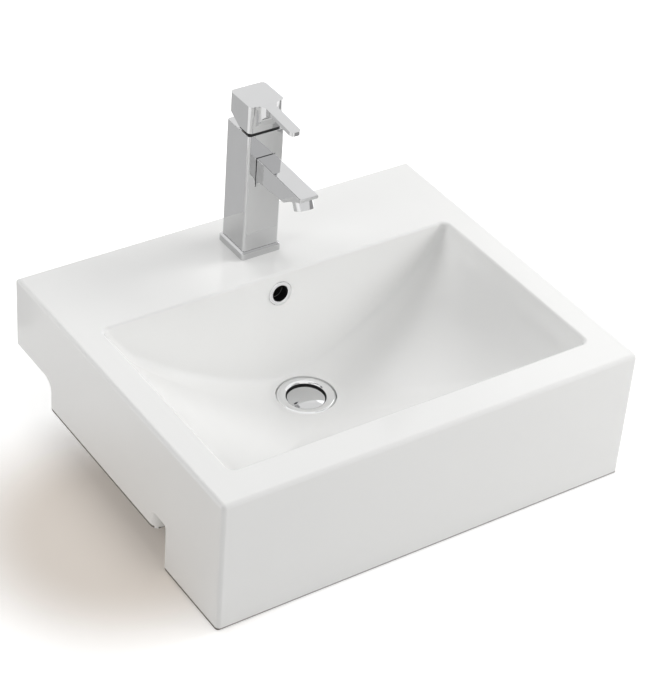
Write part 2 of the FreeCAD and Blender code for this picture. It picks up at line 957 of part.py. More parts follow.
def build_tap_body():
    """Build the column and spout, bored for the cartridge, waterways, stud and aerator."""
    column = padded("column", rounded(-half_column, half_column, -half_column, half_column, d.column_corner),
                    plate_top, d.column_top)
    root = -half_column
    inside = root + d.column_corner
    rise = d.spout_under - d.spout_root
    side = [
        (inside, d.spout_root - d.spout_round),
        (root, d.spout_root - d.spout_round),
        (root - d.spout_round, d.spout_root, d.spout_round, LEFT_TURN),
        (-d.spout_step + rise, d.spout_under),
        (-nose_rear, nose_foot),
        (-d.spout_reach, nose_top),
        (-d.spout_reach, nose_top + d.spout_nose),
        (inside, d.spout_top),
    ]
    spout = side_prism("spout", side, d.spout_width)
    solid = fuse("tap_solid", column, spout)

    inlets = []
    for name, x in (("hot", -d.inlet_offset), ("cold", d.inlet_offset)):
        inlets.append(rod(f"{name}_way", d.inlet_bore, plate_top - OVERRUN, d.chamber_floor + OVERRUN,
                          x, d.inlet_back))
        inlets.append(rod(f"{name}_port", d.port_radius, plate_top - OVERRUN, plate_top + d.port_depth,
                          x, d.inlet_back))
    channel = rod("spout_way", d.channel_bore, 0, d.aerator_front - d.outlet_front)
    fall = float(d.channel_end - d.channel_start)
    run = float(d.aerator_front - d.outlet_front)
    lean = math.degrees(math.atan2(fall, run))
    channel.Placement.Rotation = FreeCAD.Rotation(FreeCAD.Vector(1, 0, 0), 90 - lean)
    place(channel, (0, -d.outlet_front, d.channel_start))
    bore_top = d.spigot_height + d.aerator_washer
    bore = rod("aerator_bore", d.spigot_radius + d.aerator_fit, -OVERRUN, bore_top)
    face_foot = -d.aerator_height - OVERRUN
    face = rod("aerator_face", d.aerator_radius + d.aerator_fit * 2, face_foot, 0)
    body = cut(
        "tap",
        solid,
        rod("cartridge_chamber", chamber, d.chamber_floor, d.column_top + OVERRUN),
        rod("outlet_way", d.outlet_bore, d.channel_start, d.chamber_floor + OVERRUN, 0, -d.outlet_front),
        channel,
        rod("stud_hole", d.stud_radius + d.thread_fit, plate_top - OVERRUN, plate_top + d.stud_grip,
            0, -d.stud_front),
        stand_on_nose(bore, height=-OVERRUN),
        stand_on_nose(face, height=face_foot),
        *inlets,
    )
    finish(body, "tap_body", deck_seat)


def build_tap_fixing():
    """Build the base plate, its seal, the stud and what clamps the tap under the deck."""
    half = d.plate_side / 2
    bevel = d.plate_bevel
    plate_blank = padded("plate_blank", rounded(-half, half, -half, half, d.column_corner), 0, plate_top)

    def top_edge(edge):
        return lies_at(edge, Z=plate_top)

    plate_bevelled = chamfer("plate_bevelled", plate_blank, bevel, top_edge)
    groove_outer = d.plate_bore + d.seal_width + d.seal_groove
    groove_inner = groove_outer - d.seal_width
    plate = cut(
        "plate",
        plate_bevelled,
        rod("plate_hole", d.plate_bore, -OVERRUN, plate_top + OVERRUN),
        ring("plate_groove", groove_inner, groove_outer, -OVERRUN, d.seal_groove),
    )
    finish(plate, "tap_base_plate", deck_seat)
    finish(ring("plate_seal", groove_inner, groove_outer, 0, d.seal_groove), "tap_base_seal", deck_seat)

    stud_low = stud_nut_foot - d.stud_tail
    stud = rod("stud", d.stud_radius, stud_low, plate_top + d.stud_grip, 0, -d.stud_front)
    finish(stud, "mounting_stud", (0, tap_y - d.stud_front, top_z + stud_low))
    for name, label, low, high in (
        ("shoe_pad", "horseshoe_gasket", gasket_foot, deck_under),
        ("shoe", "horseshoe_plate", shoe_foot, gasket_foot),
    ):
        shoe = cut(
            name,
            rod(f"{name}_disc", d.shoe_radius, low, high),
            box(f"{name}_slot", -d.shoe_slot, d.shoe_slot, -d.stud_front + d.stud_radius * 1.5,
                d.shoe_radius + OVERRUN, low - OVERRUN, high + OVERRUN),
            rod(f"{name}_hole", d.stud_radius + d.thread_fit, low - OVERRUN, high + OVERRUN, 0, -d.stud_front),
        )
        finish(shoe, label, deck_seat)
    nut = cut(
        "fixing_nut",
        hexagon("fixing_nut_blank", d.stud_nut_radius, stud_nut_foot, shoe_foot, -d.stud_front),
        rod("fixing_nut_bore", d.stud_radius + d.thread_fit, stud_nut_foot - OVERRUN, shoe_foot + OVERRUN,
            0, -d.stud_front),
    )
    finish(nut, "stud_nut", deck_seat)


def build_aerator():
    """Build the aerator's housing, its jet insert and its washer."""
    outer = d.aerator_radius
    bore = outer - d.aerator_wall
    spigot_bore = d.spigot_radius - d.spigot_wall
    roof = -d.aerator_roof
    mouth = -d.aerator_height
    lip = mouth + d.aerator_lip
    top = d.spigot_height
    housing = turned("aerator_shell", [
        (outer, mouth),
        (outer, 0),
        (d.spigot_radius, 0),
        (d.spigot_radius, top),
        (spigot_bore, top),
        (spigot_bore, roof),
        (bore, roof),
        (bore, lip),
        (bore - d.aerator_lip, lip),
        (bore - d.aerator_lip, mouth),
    ])
    jets = [rod("jet", d.jet_radius, mouth, 0)]
    for index in range(6):
        angle = math.radians(60 * index)
        jets.append(rod("jet", d.jet_radius, mouth, 0,
                        d.jet_circle * math.cos(angle), d.jet_circle * math.sin(angle)))
    insert = cut("aerator_core", rod("aerator_plug", bore - d.aerator_fit, lip, roof), *jets)
    washer = ring("aerator_ring", spigot_bore - d.spigot_wall, d.spigot_radius, top, top + d.aerator_washer)
    for item, name in (
        (housing, "aerator_housing"),
        (insert, "aerator_insert"),
        (washer, "aerator_washer"),
    ):
        stand_on_nose(finish(item, name), deck_seat)


# Cartridge

seal_top = d.chamber_floor + d.base_seal_thickness
base_top = seal_top + d.base_thickness
housing_bore = d.cartridge_radius - d.cartridge_wall
fixed_disc_top = base_top + d.disc_thickness
moving_disc_top = fixed_disc_top + d.disc_thickness
shoulder_z = d.chamber_floor + d.shoulder_height
neck_top = shoulder_z + d.neck_height
lip_foot = neck_top - d.lip_height
lip_bore = housing_bore - d.lip_width
rotor_foot = moving_disc_top + d.rotor_gap


def ported(name, base, low, high):
    """Return a flat piece with the two inlets and the outlet bored through it."""
    ways = [
        rod(f"{name}_hot", d.inlet_bore, low - OVERRUN, high + OVERRUN, -d.inlet_offset, d.inlet_back),
        rod(f"{name}_cold", d.inlet_bore, low - OVERRUN, high + OVERRUN, d.inlet_offset, d.inlet_back),
        rod(f"{name}_out", d.outlet_bore, low - OVERRUN, high + OVERRUN, 0, -d.outlet_front),
    ]
    return cut(name, base, *ways)


def build_cartridge():
    """Build the fixed pieces of the cartridge."""
    seal = ported("base_seal", rod("base_seal_blank", d.cartridge_radius, d.chamber_floor, seal_top),
                  d.chamber_floor, seal_top)
    finish(seal, "cartridge_seal", deck_seat)
    base = ported("base", rod("base_blank", d.cartridge_radius, seal_top, base_top), seal_top, base_top)
    finish(base, "cartridge_base", deck_seat)
    housing = turned("housing", [
        (d.cartridge_radius, base_top),
        (d.cartridge_radius, shoulder_z),
        (d.neck_radius, shoulder_z),
        (d.neck_radius, neck_top),
        (lip_bore, neck_top),
        (lip_bore, lip_foot),
        (housing_bore, lip_foot),
        (housing_bore, base_top),
    ])
    finish(housing, "cartridge_housing", deck_seat)
    disc = ported("lower_disc", rod("lower_disc_blank", housing_bore - d.disc_bed_fit, base_top, fixed_disc_top),
                  base_top, fixed_disc_top)
    finish(disc, "fixed_disc", deck_seat)
    nut = ring("neck_nut", d.neck_radius + d.thread_fit, chamber - d.thread_fit, shoulder_z, neck_top)
    finish(nut, "cartridge_nut", deck_seat)
    outer = half_column - d.glide_inset
    inner = outer - d.glide_width
    glide_top = d.column_top + d.glide_thickness
    glide = cut(
        "glide",
        padded("glide_blank", rounded(-outer, outer, -outer, outer, d.column_corner), d.column_top, glide_top),
        rod("glide_bore", inner, d.column_top - OVERRUN, glide_top + OVERRUN),
        box("glide_gap", -half_column, half_column, d.glide_rear, half_column,
            d.column_top - OVERRUN, glide_top + OVERRUN),
    )
    finish(glide, "handle_glide_ring", deck_seat)


def build_moving_disc():
    """Build the sliding ceramic disc, with its water recess below and its pocket above."""
    seat = (0, tap_y + d.disc_start, top_z + fixed_disc_top)
    recess = d.disc_thickness - d.pocket_depth
    half = d.stem_foot_side / 2 + d.stem_clearance
    disc = cut(
        "upper_disc",
        rod("upper_disc_blank", d.disc_radius, 0, d.disc_thickness),
        box("disc_pocket", -half, half, -d.disc_start - half, -d.disc_start + half,
            d.disc_thickness - d.pocket_depth, d.disc_thickness + OVERRUN),
        box("disc_recess", -d.inlet_offset, d.inlet_offset, -d.outlet_front, d.inlet_back,
            -OVERRUN, recess / 2),
    )
    finish(disc, "moving_disc", seat)


def build_rotor():
    """Build the turning rotor of the cartridge and the pin through it."""
    rotor_radius = housing_bore - d.rotor_fit
    rotor_neck = lip_bore - d.rotor_fit
    blank = turned("rotor_blank", [
        (0, rotor_foot),
        (rotor_radius, rotor_foot),
        (rotor_radius, lip_foot - d.rotor_fit),
        (rotor_neck, lip_foot - d.rotor_fit),
        (rotor_neck, neck_top),
        (0, neck_top),
    ])
    half = d.stem_side / 2 + d.slot_clearance
    rotor = cut(
        "rotor",
        blank,
        box("stem_slot", -half, half, -d.slot_front, d.slot_rear, rotor_foot - OVERRUN, neck_top + OVERRUN),
        rod_along_x("pin_hole", d.pin_radius, -d.cartridge_radius, d.cartridge_radius, 0, d.pivot_height),
    )
    finish(rotor, "cartridge_rotor", deck_seat)
    grip = rotor_radius - d.pin_radius
    pin = rod_along_x("pin", d.pin_radius, -grip, grip, 0, d.pivot_height)
    finish(pin, "stem_pin", (-grip, tap_y, top_z + d.pivot_height))


# Handle

cap_top = d.cap_bottom + d.cap_height
half_cap = d.cap_width / 2
half_length = d.cap_length / 2
socket_floor = d.cap_bottom + d.cap_hollow
stem_top = socket_floor + d.socket_depth
grub_z = socket_floor + d.grub_height


def build_stem():
    """Build the square stem that carries the handle and drives the sliding disc."""
    half = d.stem_side / 2
    foot = d.stem_foot_side / 2
    foot_top = d.stem_foot + d.stem_foot_height
    stem = cut(
        "stem",
        fuse(
            "stem_solid",
            box("stem_shaft", -half, half, -half, half, foot_top, stem_top),
            box("stem_toe", -foot, foot, -foot, foot, d.stem_foot, foot_top),
        ),
        rod_along_x("stem_hole", d.pin_radius + d.pin_fit, -half - OVERRUN, half + OVERRUN, 0, d.pivot_height),
    )
    finish(stem, "cartridge_stem", deck_seat)


def build_handle():
    """Build the cap with its lever, and the screw that holds it on the stem."""
    cap = padded("cap_blank", rounded(-half_cap, half_cap, -half_length, half_length, d.cap_corner),
                 d.cap_bottom, cap_top)
    width = d.lever_width / 2
    root = -half_length
    inside = root + d.cap_wall
    tip = -d.lever_reach
    flare = d.lever_flare
    soft = d.lever_tip_round
    plan = padded("lever_plan", [
        (width - soft, tip),
        (width, tip + soft, soft, LEFT_TURN),
        (width, root - flare),
        (width + flare, root, flare, RIGHT_TURN),
        (width + flare, inside),
        (-width - flare, inside),
        (-width - flare, root),
        (-width, root - flare, flare, RIGHT_TURN),
        (-width, tip + soft),
        (-width + soft, tip, soft, LEFT_TURN),
    ], d.cap_bottom, cap_top)
    tip_top = cap_top - d.lever_fall
    arch = d.lever_arch
    arch_top = cap_top - d.lever_thickness - d.lever_fall * arch / (root - tip)
    side = side_prism("lever_side", [
        (inside, arch_top - arch),
        (inside, cap_top),
        (root, cap_top),
        (tip, tip_top),
        (tip, tip_top - d.lever_thickness),
        (root - arch, arch_top),
        (root, arch_top - arch, arch, RIGHT_TURN),
    ], d.cap_width)
    blank = fuse("handle_solid", cap, common("lever", plan, side))
    hollow = half_cap - d.cap_wall
    hollow_rear = half_length - d.cap_wall
    socket = d.stem_side / 2 + d.socket_fit
    relief = side_prism("cap_relief", [
        (0, d.cap_bottom),
        (0, d.cap_bottom - OVERRUN),
        (half_length + OVERRUN, d.cap_bottom - OVERRUN),
        (half_length + OVERRUN, d.cap_bottom + d.cap_relief * (half_length + OVERRUN) / half_length),
    ], d.cap_width + OVERRUN)
    screw_end = d.stem_side / 2 + d.grub_length
    cover_face = half_length - d.cover_length
    handle = cut(
        "grip",
        blank,
        box("cap_space", -hollow, hollow, -hollow_rear, hollow_rear, d.cap_bottom - OVERRUN, socket_floor),
        relief,
        box("stem_socket", -socket, socket, -socket, socket, socket_floor - OVERRUN, stem_top),
        rod_along_y("grub_hole", d.grub_radius + d.thread_fit, 0, half_length + OVERRUN, 0, grub_z),
        rod_along_y("cover_hole", d.cover_radius + d.thread_fit, screw_end, half_length + OVERRUN, 0, grub_z),
    )
    finish(handle, "handle", deck_seat)
    grub = rod_along_y("grub", d.grub_radius, d.stem_side / 2, screw_end, 0, grub_z)
    finish(grub, "handle_grub_screw", (0, tap_y + screw_end, top_z + grub_z))
    cover = rod_along_y("cover", d.cover_radius, cover_face, half_length, 0, grub_z)
    finish(cover, "grub_screw_cover", (0, tap_y + half_length, top_z + grub_z))


def check_document():
    """Stop if any object failed or any piece is not a sound solid."""
    doc.recompute()
    for item in doc.Objects:
        if "Invalid" in item.State or "Error" in item.State:
            raise RuntimeError(f"{item.Label} failed: {item.State}")
    for piece in pieces:
        shape = piece.Shape
        if shape.isNull() or not shape.isValid() or not shape.Solids:
            raise RuntimeError(f"{piece.Label} has no sound solid")


build_basin()
build_overflow_ring()
build_waste()
build_plug()
build_tap_body()
build_tap_fixing()
build_aerator()
build_cartridge()
build_moving_disc()
build_rotor()
build_stem()
build_handle()
check_document()

os.makedirs("parts", exist_ok=True)
for piece in pieces:
    piece.Shape.exportStep(os.path.join("parts", f"{piece.Label}.step"))
    print(piece.Label, len(piece.Shape.Solids), round(piece.Shape.Volume / 1000, 2), "cm3")
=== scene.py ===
"""Looks of a semi-recessed washbasin with a square chrome mixer, an overflow ring and a push-open waste.

Pieces are shaped in millimetres and set down in the row frame in metres.
"""

import json
import logging
import math
from collections.abc import Callable, Sequence
from dataclasses import dataclass, field
from enum import Enum

import bmesh
import bpy
from mathutils import Matrix, Vector


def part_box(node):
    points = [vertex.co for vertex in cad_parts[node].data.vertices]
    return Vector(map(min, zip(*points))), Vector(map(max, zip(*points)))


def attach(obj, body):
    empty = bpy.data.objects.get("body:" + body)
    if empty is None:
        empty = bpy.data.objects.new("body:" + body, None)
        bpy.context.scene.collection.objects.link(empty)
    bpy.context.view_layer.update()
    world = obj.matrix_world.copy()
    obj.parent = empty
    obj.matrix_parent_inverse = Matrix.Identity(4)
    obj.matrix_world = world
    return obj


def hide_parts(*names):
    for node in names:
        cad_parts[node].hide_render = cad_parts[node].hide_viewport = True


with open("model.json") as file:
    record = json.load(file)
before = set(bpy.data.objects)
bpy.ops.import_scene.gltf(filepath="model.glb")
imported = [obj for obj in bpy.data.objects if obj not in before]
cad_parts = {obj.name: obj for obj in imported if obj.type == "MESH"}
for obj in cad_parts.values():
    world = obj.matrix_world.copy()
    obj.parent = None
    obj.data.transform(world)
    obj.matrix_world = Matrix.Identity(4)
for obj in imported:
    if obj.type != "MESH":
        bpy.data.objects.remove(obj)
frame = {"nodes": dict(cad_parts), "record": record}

log = logging.getLogger("basin")

Point = tuple[float, float]
Place = tuple[float, float, float]
Colour = tuple[float, float, float]

MM = 0.001
ARC_STEP = math.radians(7.5)
ARC_LEAST_STEPS = 3
SOFT_STEPS = 4
SOFT_SHARE = 0.45
SHARP_ANGLE = math.radians(35)
FINE_SIDES = 128
OVERRUN = 5.0
TOUCH = 1e-4


class Turn(Enum):
    """Side to which an arc of an outline bends."""

    LEFT = 1
    RIGHT = -1


class Along(Enum):
    """Direction in which an outline is drawn out."""

    ACROSS = "x"
    UPWARD = "z"


class Join(Enum):
    """How one solid is combined with another."""

    ADD = "UNION"
    TAKE = "DIFFERENCE"
    SHARE = "INTERSECT"


# Outlines


def arc_points(start: Vector, end: Vector, radius: float, turn: Turn) -> list[Point]:
    """Return the points between the ends of a minor arc.

    Args:
        start: First end of the arc.
        end: Last end of the arc.
        radius: Radius of the arc.
        turn: Side to which the arc bends.

    Returns:
        The points inside the arc, without its ends.
    """
    chord = end - start
    half = chord.length / 2
    height = math.sqrt(max(radius ** 2 - half ** 2, 0.0))
    across = Vector((-chord.y, chord.x)).normalized()
    centre = (start + end) / 2 + across * (height * turn.value)
    first = math.atan2(start.y - centre.y, start.x - centre.x)
    sweep = 2 * math.asin(min(half / radius, 1.0)) * turn.value
    steps = max(ARC_LEAST_STEPS, round(abs(sweep) / ARC_STEP))
    angles = [first + sweep * index / steps for index in range(1, steps)]
    return [(centre.x + radius * math.cos(angle), centre.y + radius * math.sin(angle)) for angle in angles]


def outline(corners: Sequence[tuple]) -> list[Point]:
    """Return the points of a closed outline.

    Args:
        corners: (a, b), or (a, b, radius, turn) at the end of an arc from the corner before.

    Returns:
        The points of the outline, with its arcs divided.
    """
    points = []
    for index, corner in enumerate(corners):
        end = Vector(corner[:2])
        if len(corner) > 2:
            points += arc_points(Vector(corners[index - 1][:2]), end, corner[2], corner[3])
        points.append((end.x, end.y))
    return points


def rounded(left: float, right: float, low: float, high: float, corner: float) -> list[Point]:
    """Return the points of a rectangle with round corners.

    Args:
        left: Lowest first coordinate.
        right: Highest first coordinate.
        low: Lowest second coordinate.
        high: Highest second coordinate.
        corner: Radius of the corners.

    Returns:
        The points of the outline.
    """
    return outline([
        (right - corner, low),
        (right, low + corner, corner, Turn.LEFT),
        (right, high - corner),
        (right - corner, high, corner, Turn.LEFT),
        (left + corner, high),
        (left, high - corner, corner, Turn.LEFT),
        (left, low + corner),
        (left + corner, low, corner, Turn.LEFT),
    ])


def soften(points: Sequence[Point], radius: float, steps: int = SOFT_STEPS) -> list[Point]:
    """Return a closed outline with each of its corners eased.

    Args:
        points: Corners of the outline.
        radius: Length that a corner takes from each of its two sides.
        steps: Number of chords in an eased corner.

    Returns:
        The eased outline; corners on the axis stay sharp.
    """
    eased = []
    for index, point in enumerate(points):
        here = Vector(point)
        before = Vector(points[index - 1]) - here
        after = Vector(points[(index + 1) % len(points)]) - here
        if here.x < TOUCH:
            eased.append(point)
            continue
        first = here + before.normalized() * min(radius, before.length * SOFT_SHARE)
        last = here + after.normalized() * min(radius, after.length * SOFT_SHARE)
        for step in range(steps + 1):
            share = step / steps
            place = first * (1 - share) ** 2 + here * (2 * share * (1 - share)) + last * share ** 2
            eased.append((place.x, place.y))
    return eased


# Solids


def link(name: str, data: bpy.types.ID) -> bpy.types.Object:
    """Return a new object that is linked to the scene.

    Args:
        name: Name of the object.
        data: Its mesh, lamp or camera.

    Returns:
        The object.
    """
    item = bpy.data.objects.new(name, data)
    bpy.context.scene.collection.objects.link(item)
    return item


def solid(name: str, vertices: Sequence[Sequence[float]], faces: Sequence[Sequence[int]]) -> bpy.types.Object:
    """Return a closed mesh object whose faces point outwards.

    Args:
        name: Name of the object.
        vertices: Corners, in millimetres.
        faces: Indices of each face's corners.

    Returns:
        The object, linked to the scene.
    """
    mesh = bpy.data.meshes.new(name)
    mesh.from_pydata([tuple(corner) for corner in vertices], [], [tuple(face) for face in faces])
    work = bmesh.new()
    work.from_mesh(mesh)
    bmesh.ops.remove_doubles(work, verts=work.verts, dist=TOUCH)
    bmesh.ops.recalc_face_normals(work, faces=work.faces)
    work.to_mesh(mesh)
    work.free()
    return link(name, mesh)


def prism(name: str, points: Sequence[Point], along: Along, low: float, high: float) -> bpy.types.Object:
    """Return a straight prism.

    Args:
        name: Name of the object.
        points: Outline, as (y, z) for a prism across and (x, y) for an upright one.
        along: Direction of the prism.
        low: Where the prism starts.
        high: Where the prism ends.

    Returns:
        The prism as a mesh object.
    """
    count = len(points)
    ends = [(level, first, second) for level in (low, high) for first, second in points]
    if along is Along.UPWARD:
        ends = [(first, second, level) for level, first, second in ends]
    faces = [list(range(count)), list(range(count, 2 * count))]
    for index in range(count):
        follower = (index + 1) % count
        faces.append([index, follower, count + follower, count + index])
    return solid(name, ends, faces)


def block(name: str, low: Sequence[float], high: Sequence[float]) -> bpy.types.Object:
    """Return a box between two corners.

    Args:
        name: Name of the object.
        low: Lowest corner.
        high: Highest corner.

    Returns:
        The box as a mesh object.
    """
    plan = [(low[0], low[1]), (high[0], low[1]), (high[0], high[1]), (low[0], high[1])]
    return prism(name, plan, Along.UPWARD, low[2], high[2])


def lathe(name: str, profile: Sequence[Point], steps: int = 96) -> bpy.types.Object:
    """Return a solid turned about the Z axis.

    Args:
        name: Name of the object.
        profile: Closed outline of (radius, height).
        steps: Number of sides round the axis.

    Returns:
        The turned solid as a mesh object.
    """
    vertices: list[Place] = []
    rings: list[list[int]] = []
    for radius, height in profile:
        if radius < TOUCH:
            rings.append([len(vertices)] * steps)
            vertices.append((0.0, 0.0, height))
            continue
        rings.append(list(range(len(vertices), len(vertices) + steps)))
        for index in range(steps):
            angle = 2 * math.pi * index / steps
            vertices.append((radius * math.cos(angle), radius * math.sin(angle), height))
    faces = []
    for lower, upper in zip(rings, rings[1:] + rings[:1]):
        for index in range(steps):
            follower = (index + 1) % steps
            corners = dict.fromkeys((lower[index], lower[follower], upper[follower], upper[index]))
            if len(corners) > 2:
                faces.append(list(corners))
    return solid(name, vertices, faces)


def rod(
    name: str, radius: float, low: float, high: float, x: float = 0.0, y: float = 0.0
) -> bpy.types.Object:
    """Return an upright cylinder.

    Args:
        name: Name of the object.
        radius: Radius of the cylinder.
        low: Height of its foot.
        high: Height of its top.
        x: Place of its axis across.
        y: Place of its axis from front to rear.

    Returns:
        The cylinder as a mesh object.
    """
    item = lathe(name, [(0.0, low), (radius, low), (radius, high), (0.0, high)])
    item.data.transform(Matrix.Translation((x, y, 0.0)))
    return item


def bake_modifiers(item: bpy.types.Object) -> bpy.types.Object:
    """Turn an object with modifiers into a plain mesh.

    Args:
        item: The object.

    Returns:
        The same object with its modifiers applied.
    """
    graph = bpy.context.evaluated_depsgraph_get()
    mesh = bpy.data.meshes.new_from_object(
        item.evaluated_get(graph), preserve_all_data_layers=True, depsgraph=graph)
    before = item.data
    item.modifiers.clear()
    item.data = mesh
    bpy.data.meshes.remove(before)
    mesh.name = item.name
    return item


def combine(item: bpy.types.Object, way: Join, *tools: bpy.types.Object) -> bpy.types.Object:
    """Combine a solid with others, which are used up.

    Args:
        item: The solid that stays.
        way: How the others act on it.
        tools: The other solids.

    Returns:
        The solid that stays.
    """
    for tool in tools:
        change = item.modifiers.new("combine", "BOOLEAN")
        change.operation = way.value
        change.solver = "MANIFOLD"
        change.object = tool
        bake_modifiers(item)
        mesh = tool.data
        bpy.data.objects.remove(tool)
        bpy.data.meshes.remove(mesh)
    return item


def ease(item: bpy.types.Object, width: float, steps: int = 3, angle: float = 40.0) -> bpy.types.Object:
    """Round the sharp edges of a solid.

    Args:
        item: The solid.
        width: Width of the rounding.
        steps: Number of chords in the rounding.
        angle: Least angle of an edge that is rounded, in degrees.

    Returns:
        The same solid.
    """
    change = item.modifiers.new("ease", "BEVEL")
    change.width = width
    change.segments = steps
    change.limit_method = "ANGLE"
    change.angle_limit = math.radians(angle)
    change.use_clamp_overlap = True
    return bake_modifiers(item)


def seat(item: bpy.types.Object, place: Vector, turn: Matrix | None = None) -> bpy.types.Object:
    """Set a piece down in the row frame and give it even normals.

    Args:
        item: The piece, shaped in millimetres about its own origin.
        place: Where its origin goes, in millimetres.
        turn: Rotation of the piece, if it has one.

    Returns:
        The same piece, in metres.
    """
    turn = turn or Matrix.Identity(4)
    item.data.transform(Matrix.Scale(MM, 4) @ Matrix.Translation(place) @ turn)
    item.data.shade_smooth()
    item.data.set_sharp_from_angle(angle=SHARP_ANGLE)
    change = item.modifiers.new("normals", "WEIGHTED_NORMAL")
    change.keep_sharp = True
    return bake_modifiers(item)


# Node trees


class Desk:
    """A node tree with short calls that add and join its nodes."""

    # Places of a colour mix node's sockets: its share and its two colours, then its result.
    MIX_INPUTS = (0, 6, 7)
    MIX_RESULT = 2

    def __init__(self, tree: bpy.types.NodeTree) -> None:
        """Keep the tree that the calls work on."""
        self.tree = tree

    def add(self, kind: str, inputs: dict | None = None, **settings: object) -> bpy.types.Node:
        """Add a node.

        Args:
            kind: Type of the node.
            inputs: Values or sockets for the node's inputs, by name or by place.
            settings: Properties of the node.

        Returns:
            The new node.
        """
        node = self.tree.nodes.new(kind)
        for name, value in settings.items():
            setattr(node, name, value)
        for key, value in (inputs or {}).items():
            socket = node.inputs[key]
            if isinstance(value, bpy.types.NodeSocket):
                self.tree.links.new(value, socket)
            else:
                socket.default_value = value
        return node

    def math(self, way: str, first: object, second: object = 0.0) -> bpy.types.NodeSocket:
        """Return the result of an operation on two values or sockets."""
        return self.add("ShaderNodeMath", {0: first, 1: second}, operation=way).outputs[0]

    def span(self, value: bpy.types.NodeSocket, low: float, high: float) -> bpy.types.NodeSocket:
        """Return a value from 0 to 1 spread over a range."""
        node = self.add("ShaderNodeMapRange", {"Value": value, "To Min": low, "To Max": high})
        return node.outputs["Result"]

    def fade(self, value: bpy.types.NodeSocket, limits: Point, high: float = 1.0) -> bpy.types.NodeSocket:
        """Return a value that rises softly from 0 between two limits.

        Args:
            value: The socket that runs over the limits.
            limits: Where the rise starts and where it ends.
            high: Value at the end of the rise.

        Returns:
            The socket of the risen value.
        """
        inputs = {"Value": value, "From Min": limits[0], "From Max": limits[1], "To Max": high}
        node = self.add("ShaderNodeMapRange", inputs, interpolation_type="SMOOTHSTEP")
        return node.outputs["Result"]

    def mix(self, share: bpy.types.NodeSocket, first: object, second: object) -> bpy.types.NodeSocket:
        """Return a blend of two colours.

        Args:
            share: Socket of how much of the second colour is used.
            first: Colour or socket at 0.
            second: Colour or socket at 1.

        Returns:
            The socket of the blended colour.
        """
        ends = [(*end, 1.0) if isinstance(end, tuple) else end for end in (first, second)]
        node = self.add("ShaderNodeMix", dict(zip(self.MIX_INPUTS, (share, *ends))), data_type="RGBA")
        return node.outputs[self.MIX_RESULT]

    def backdrop_ray(self) -> bpy.types.NodeSocket:
        """Return the socket that is 1 for rays from the camera, from a mirror or through glass."""
        path = self.add("ShaderNodeLightPath").outputs
        mirrored = self.math("MAXIMUM", path["Is Glossy Ray"], path["Is Transmission Ray"])
        return self.math("MAXIMUM", path["Is Camera Ray"], mirrored)


def fresh_desk(owner: bpy.types.ID) -> Desk:
    """Return the desk of a material or a world whose node tree is emptied.

    Args:
        owner: The material or the world.

    Returns:
        The desk on the empty tree.
    """
    owner.use_nodes = True
    owner.node_tree.nodes.clear()
    return Desk(owner.node_tree)


def grain_group() -> bpy.types.NodeTree:
    """Return the shared surface effect: broad patches and a fine grain that drift over a surface.

    Returns:
        The node group, with the inputs Vector, Patch Scale and Grain Scale and the outputs Patch and Grain.
    """
    name = "surface_grain"
    if name in bpy.data.node_groups:
        return bpy.data.node_groups[name]
    group = bpy.data.node_groups.new(name, "ShaderNodeTree")
    group.interface.new_socket("Vector", in_out="INPUT", socket_type="NodeSocketVector")
    for label in ("Patch Scale", "Grain Scale"):
        group.interface.new_socket(label, in_out="INPUT", socket_type="NodeSocketFloat")
    for label in ("Patch", "Grain"):
        group.interface.new_socket(label, in_out="OUTPUT", socket_type="NodeSocketFloat")
    desk = Desk(group)
    entry = desk.add("NodeGroupInput").outputs
    patch = desk.add("ShaderNodeTexNoise", {
        "Vector": entry["Vector"], "Scale": entry["Patch Scale"], "Detail": 2.0, "Roughness": 0.45})
    grain = desk.add("ShaderNodeTexNoise", {
        "Vector": entry["Vector"], "Scale": entry["Grain Scale"], "Detail": 3.0, "Roughness": 0.6})
    desk.add("NodeGroupOutput", {"Patch": patch.outputs["Fac"], "Grain": grain.outputs["Fac"]})
    return group


@dataclass(frozen=True)
class Finish:
    """A surface whose colour, gloss and relief drift with the shared grain."""

    name: str
    slot: str
    light: Colour
    dark: Colour
    metallic: float = 0.0
    gloss: tuple[float, float] = (0.3, 0.4)
    patch: float = 30.0
    grain: float = 900.0
    relief: float = 0.1
    depth: float = 0.00005
    index: float = 1.5

    def colour(self, desk: Desk, effect: bpy.types.Node) -> bpy.types.NodeSocket:
        """Return the socket of the surface's colour."""
        return desk.mix(effect.outputs["Patch"], self.light, self.dark)

    def rough(self, desk: Desk, effect: bpy.types.Node) -> bpy.types.NodeSocket:
        """Return the socket of the surface's roughness."""
        return desk.span(effect.outputs["Patch"], *self.gloss)

    def height(self, desk: Desk, effect: bpy.types.Node) -> bpy.types.NodeSocket:
        """Return the socket of the surface's relief."""
        return effect.outputs["Grain"]

    def material(self) -> bpy.types.Material:
        """Return the finish as a material, made on its first use.

        Returns:
            The material, named for its finish.
        """
        label = f"{self.name}_finish"
        if label in bpy.data.materials:
            return bpy.data.materials[label]
        item = bpy.data.materials.new(label)
        desk = fresh_desk(item)
        place = desk.add("ShaderNodeTexCoord").outputs["Object"]
        effect = desk.add("ShaderNodeGroup", {
            "Vector": place, "Patch Scale": self.patch, "Grain Scale": self.grain}, node_tree=grain_group())
        bump = desk.add("ShaderNodeBump", {
            "Strength": self.relief, "Distance": self.depth, "Height": self.height(desk, effect)})
        shader = desk.add("ShaderNodeBsdfPrincipled", {
            "Base Color": self.colour(desk, effect),
            "Roughness": self.rough(desk, effect),
            "Normal": bump.outputs["Normal"],
            "Metallic": self.metallic,
            "IOR": self.index,
        })
        desk.add("ShaderNodeOutputMaterial", {"Surface": shader.outputs["BSDF"]})
        return item


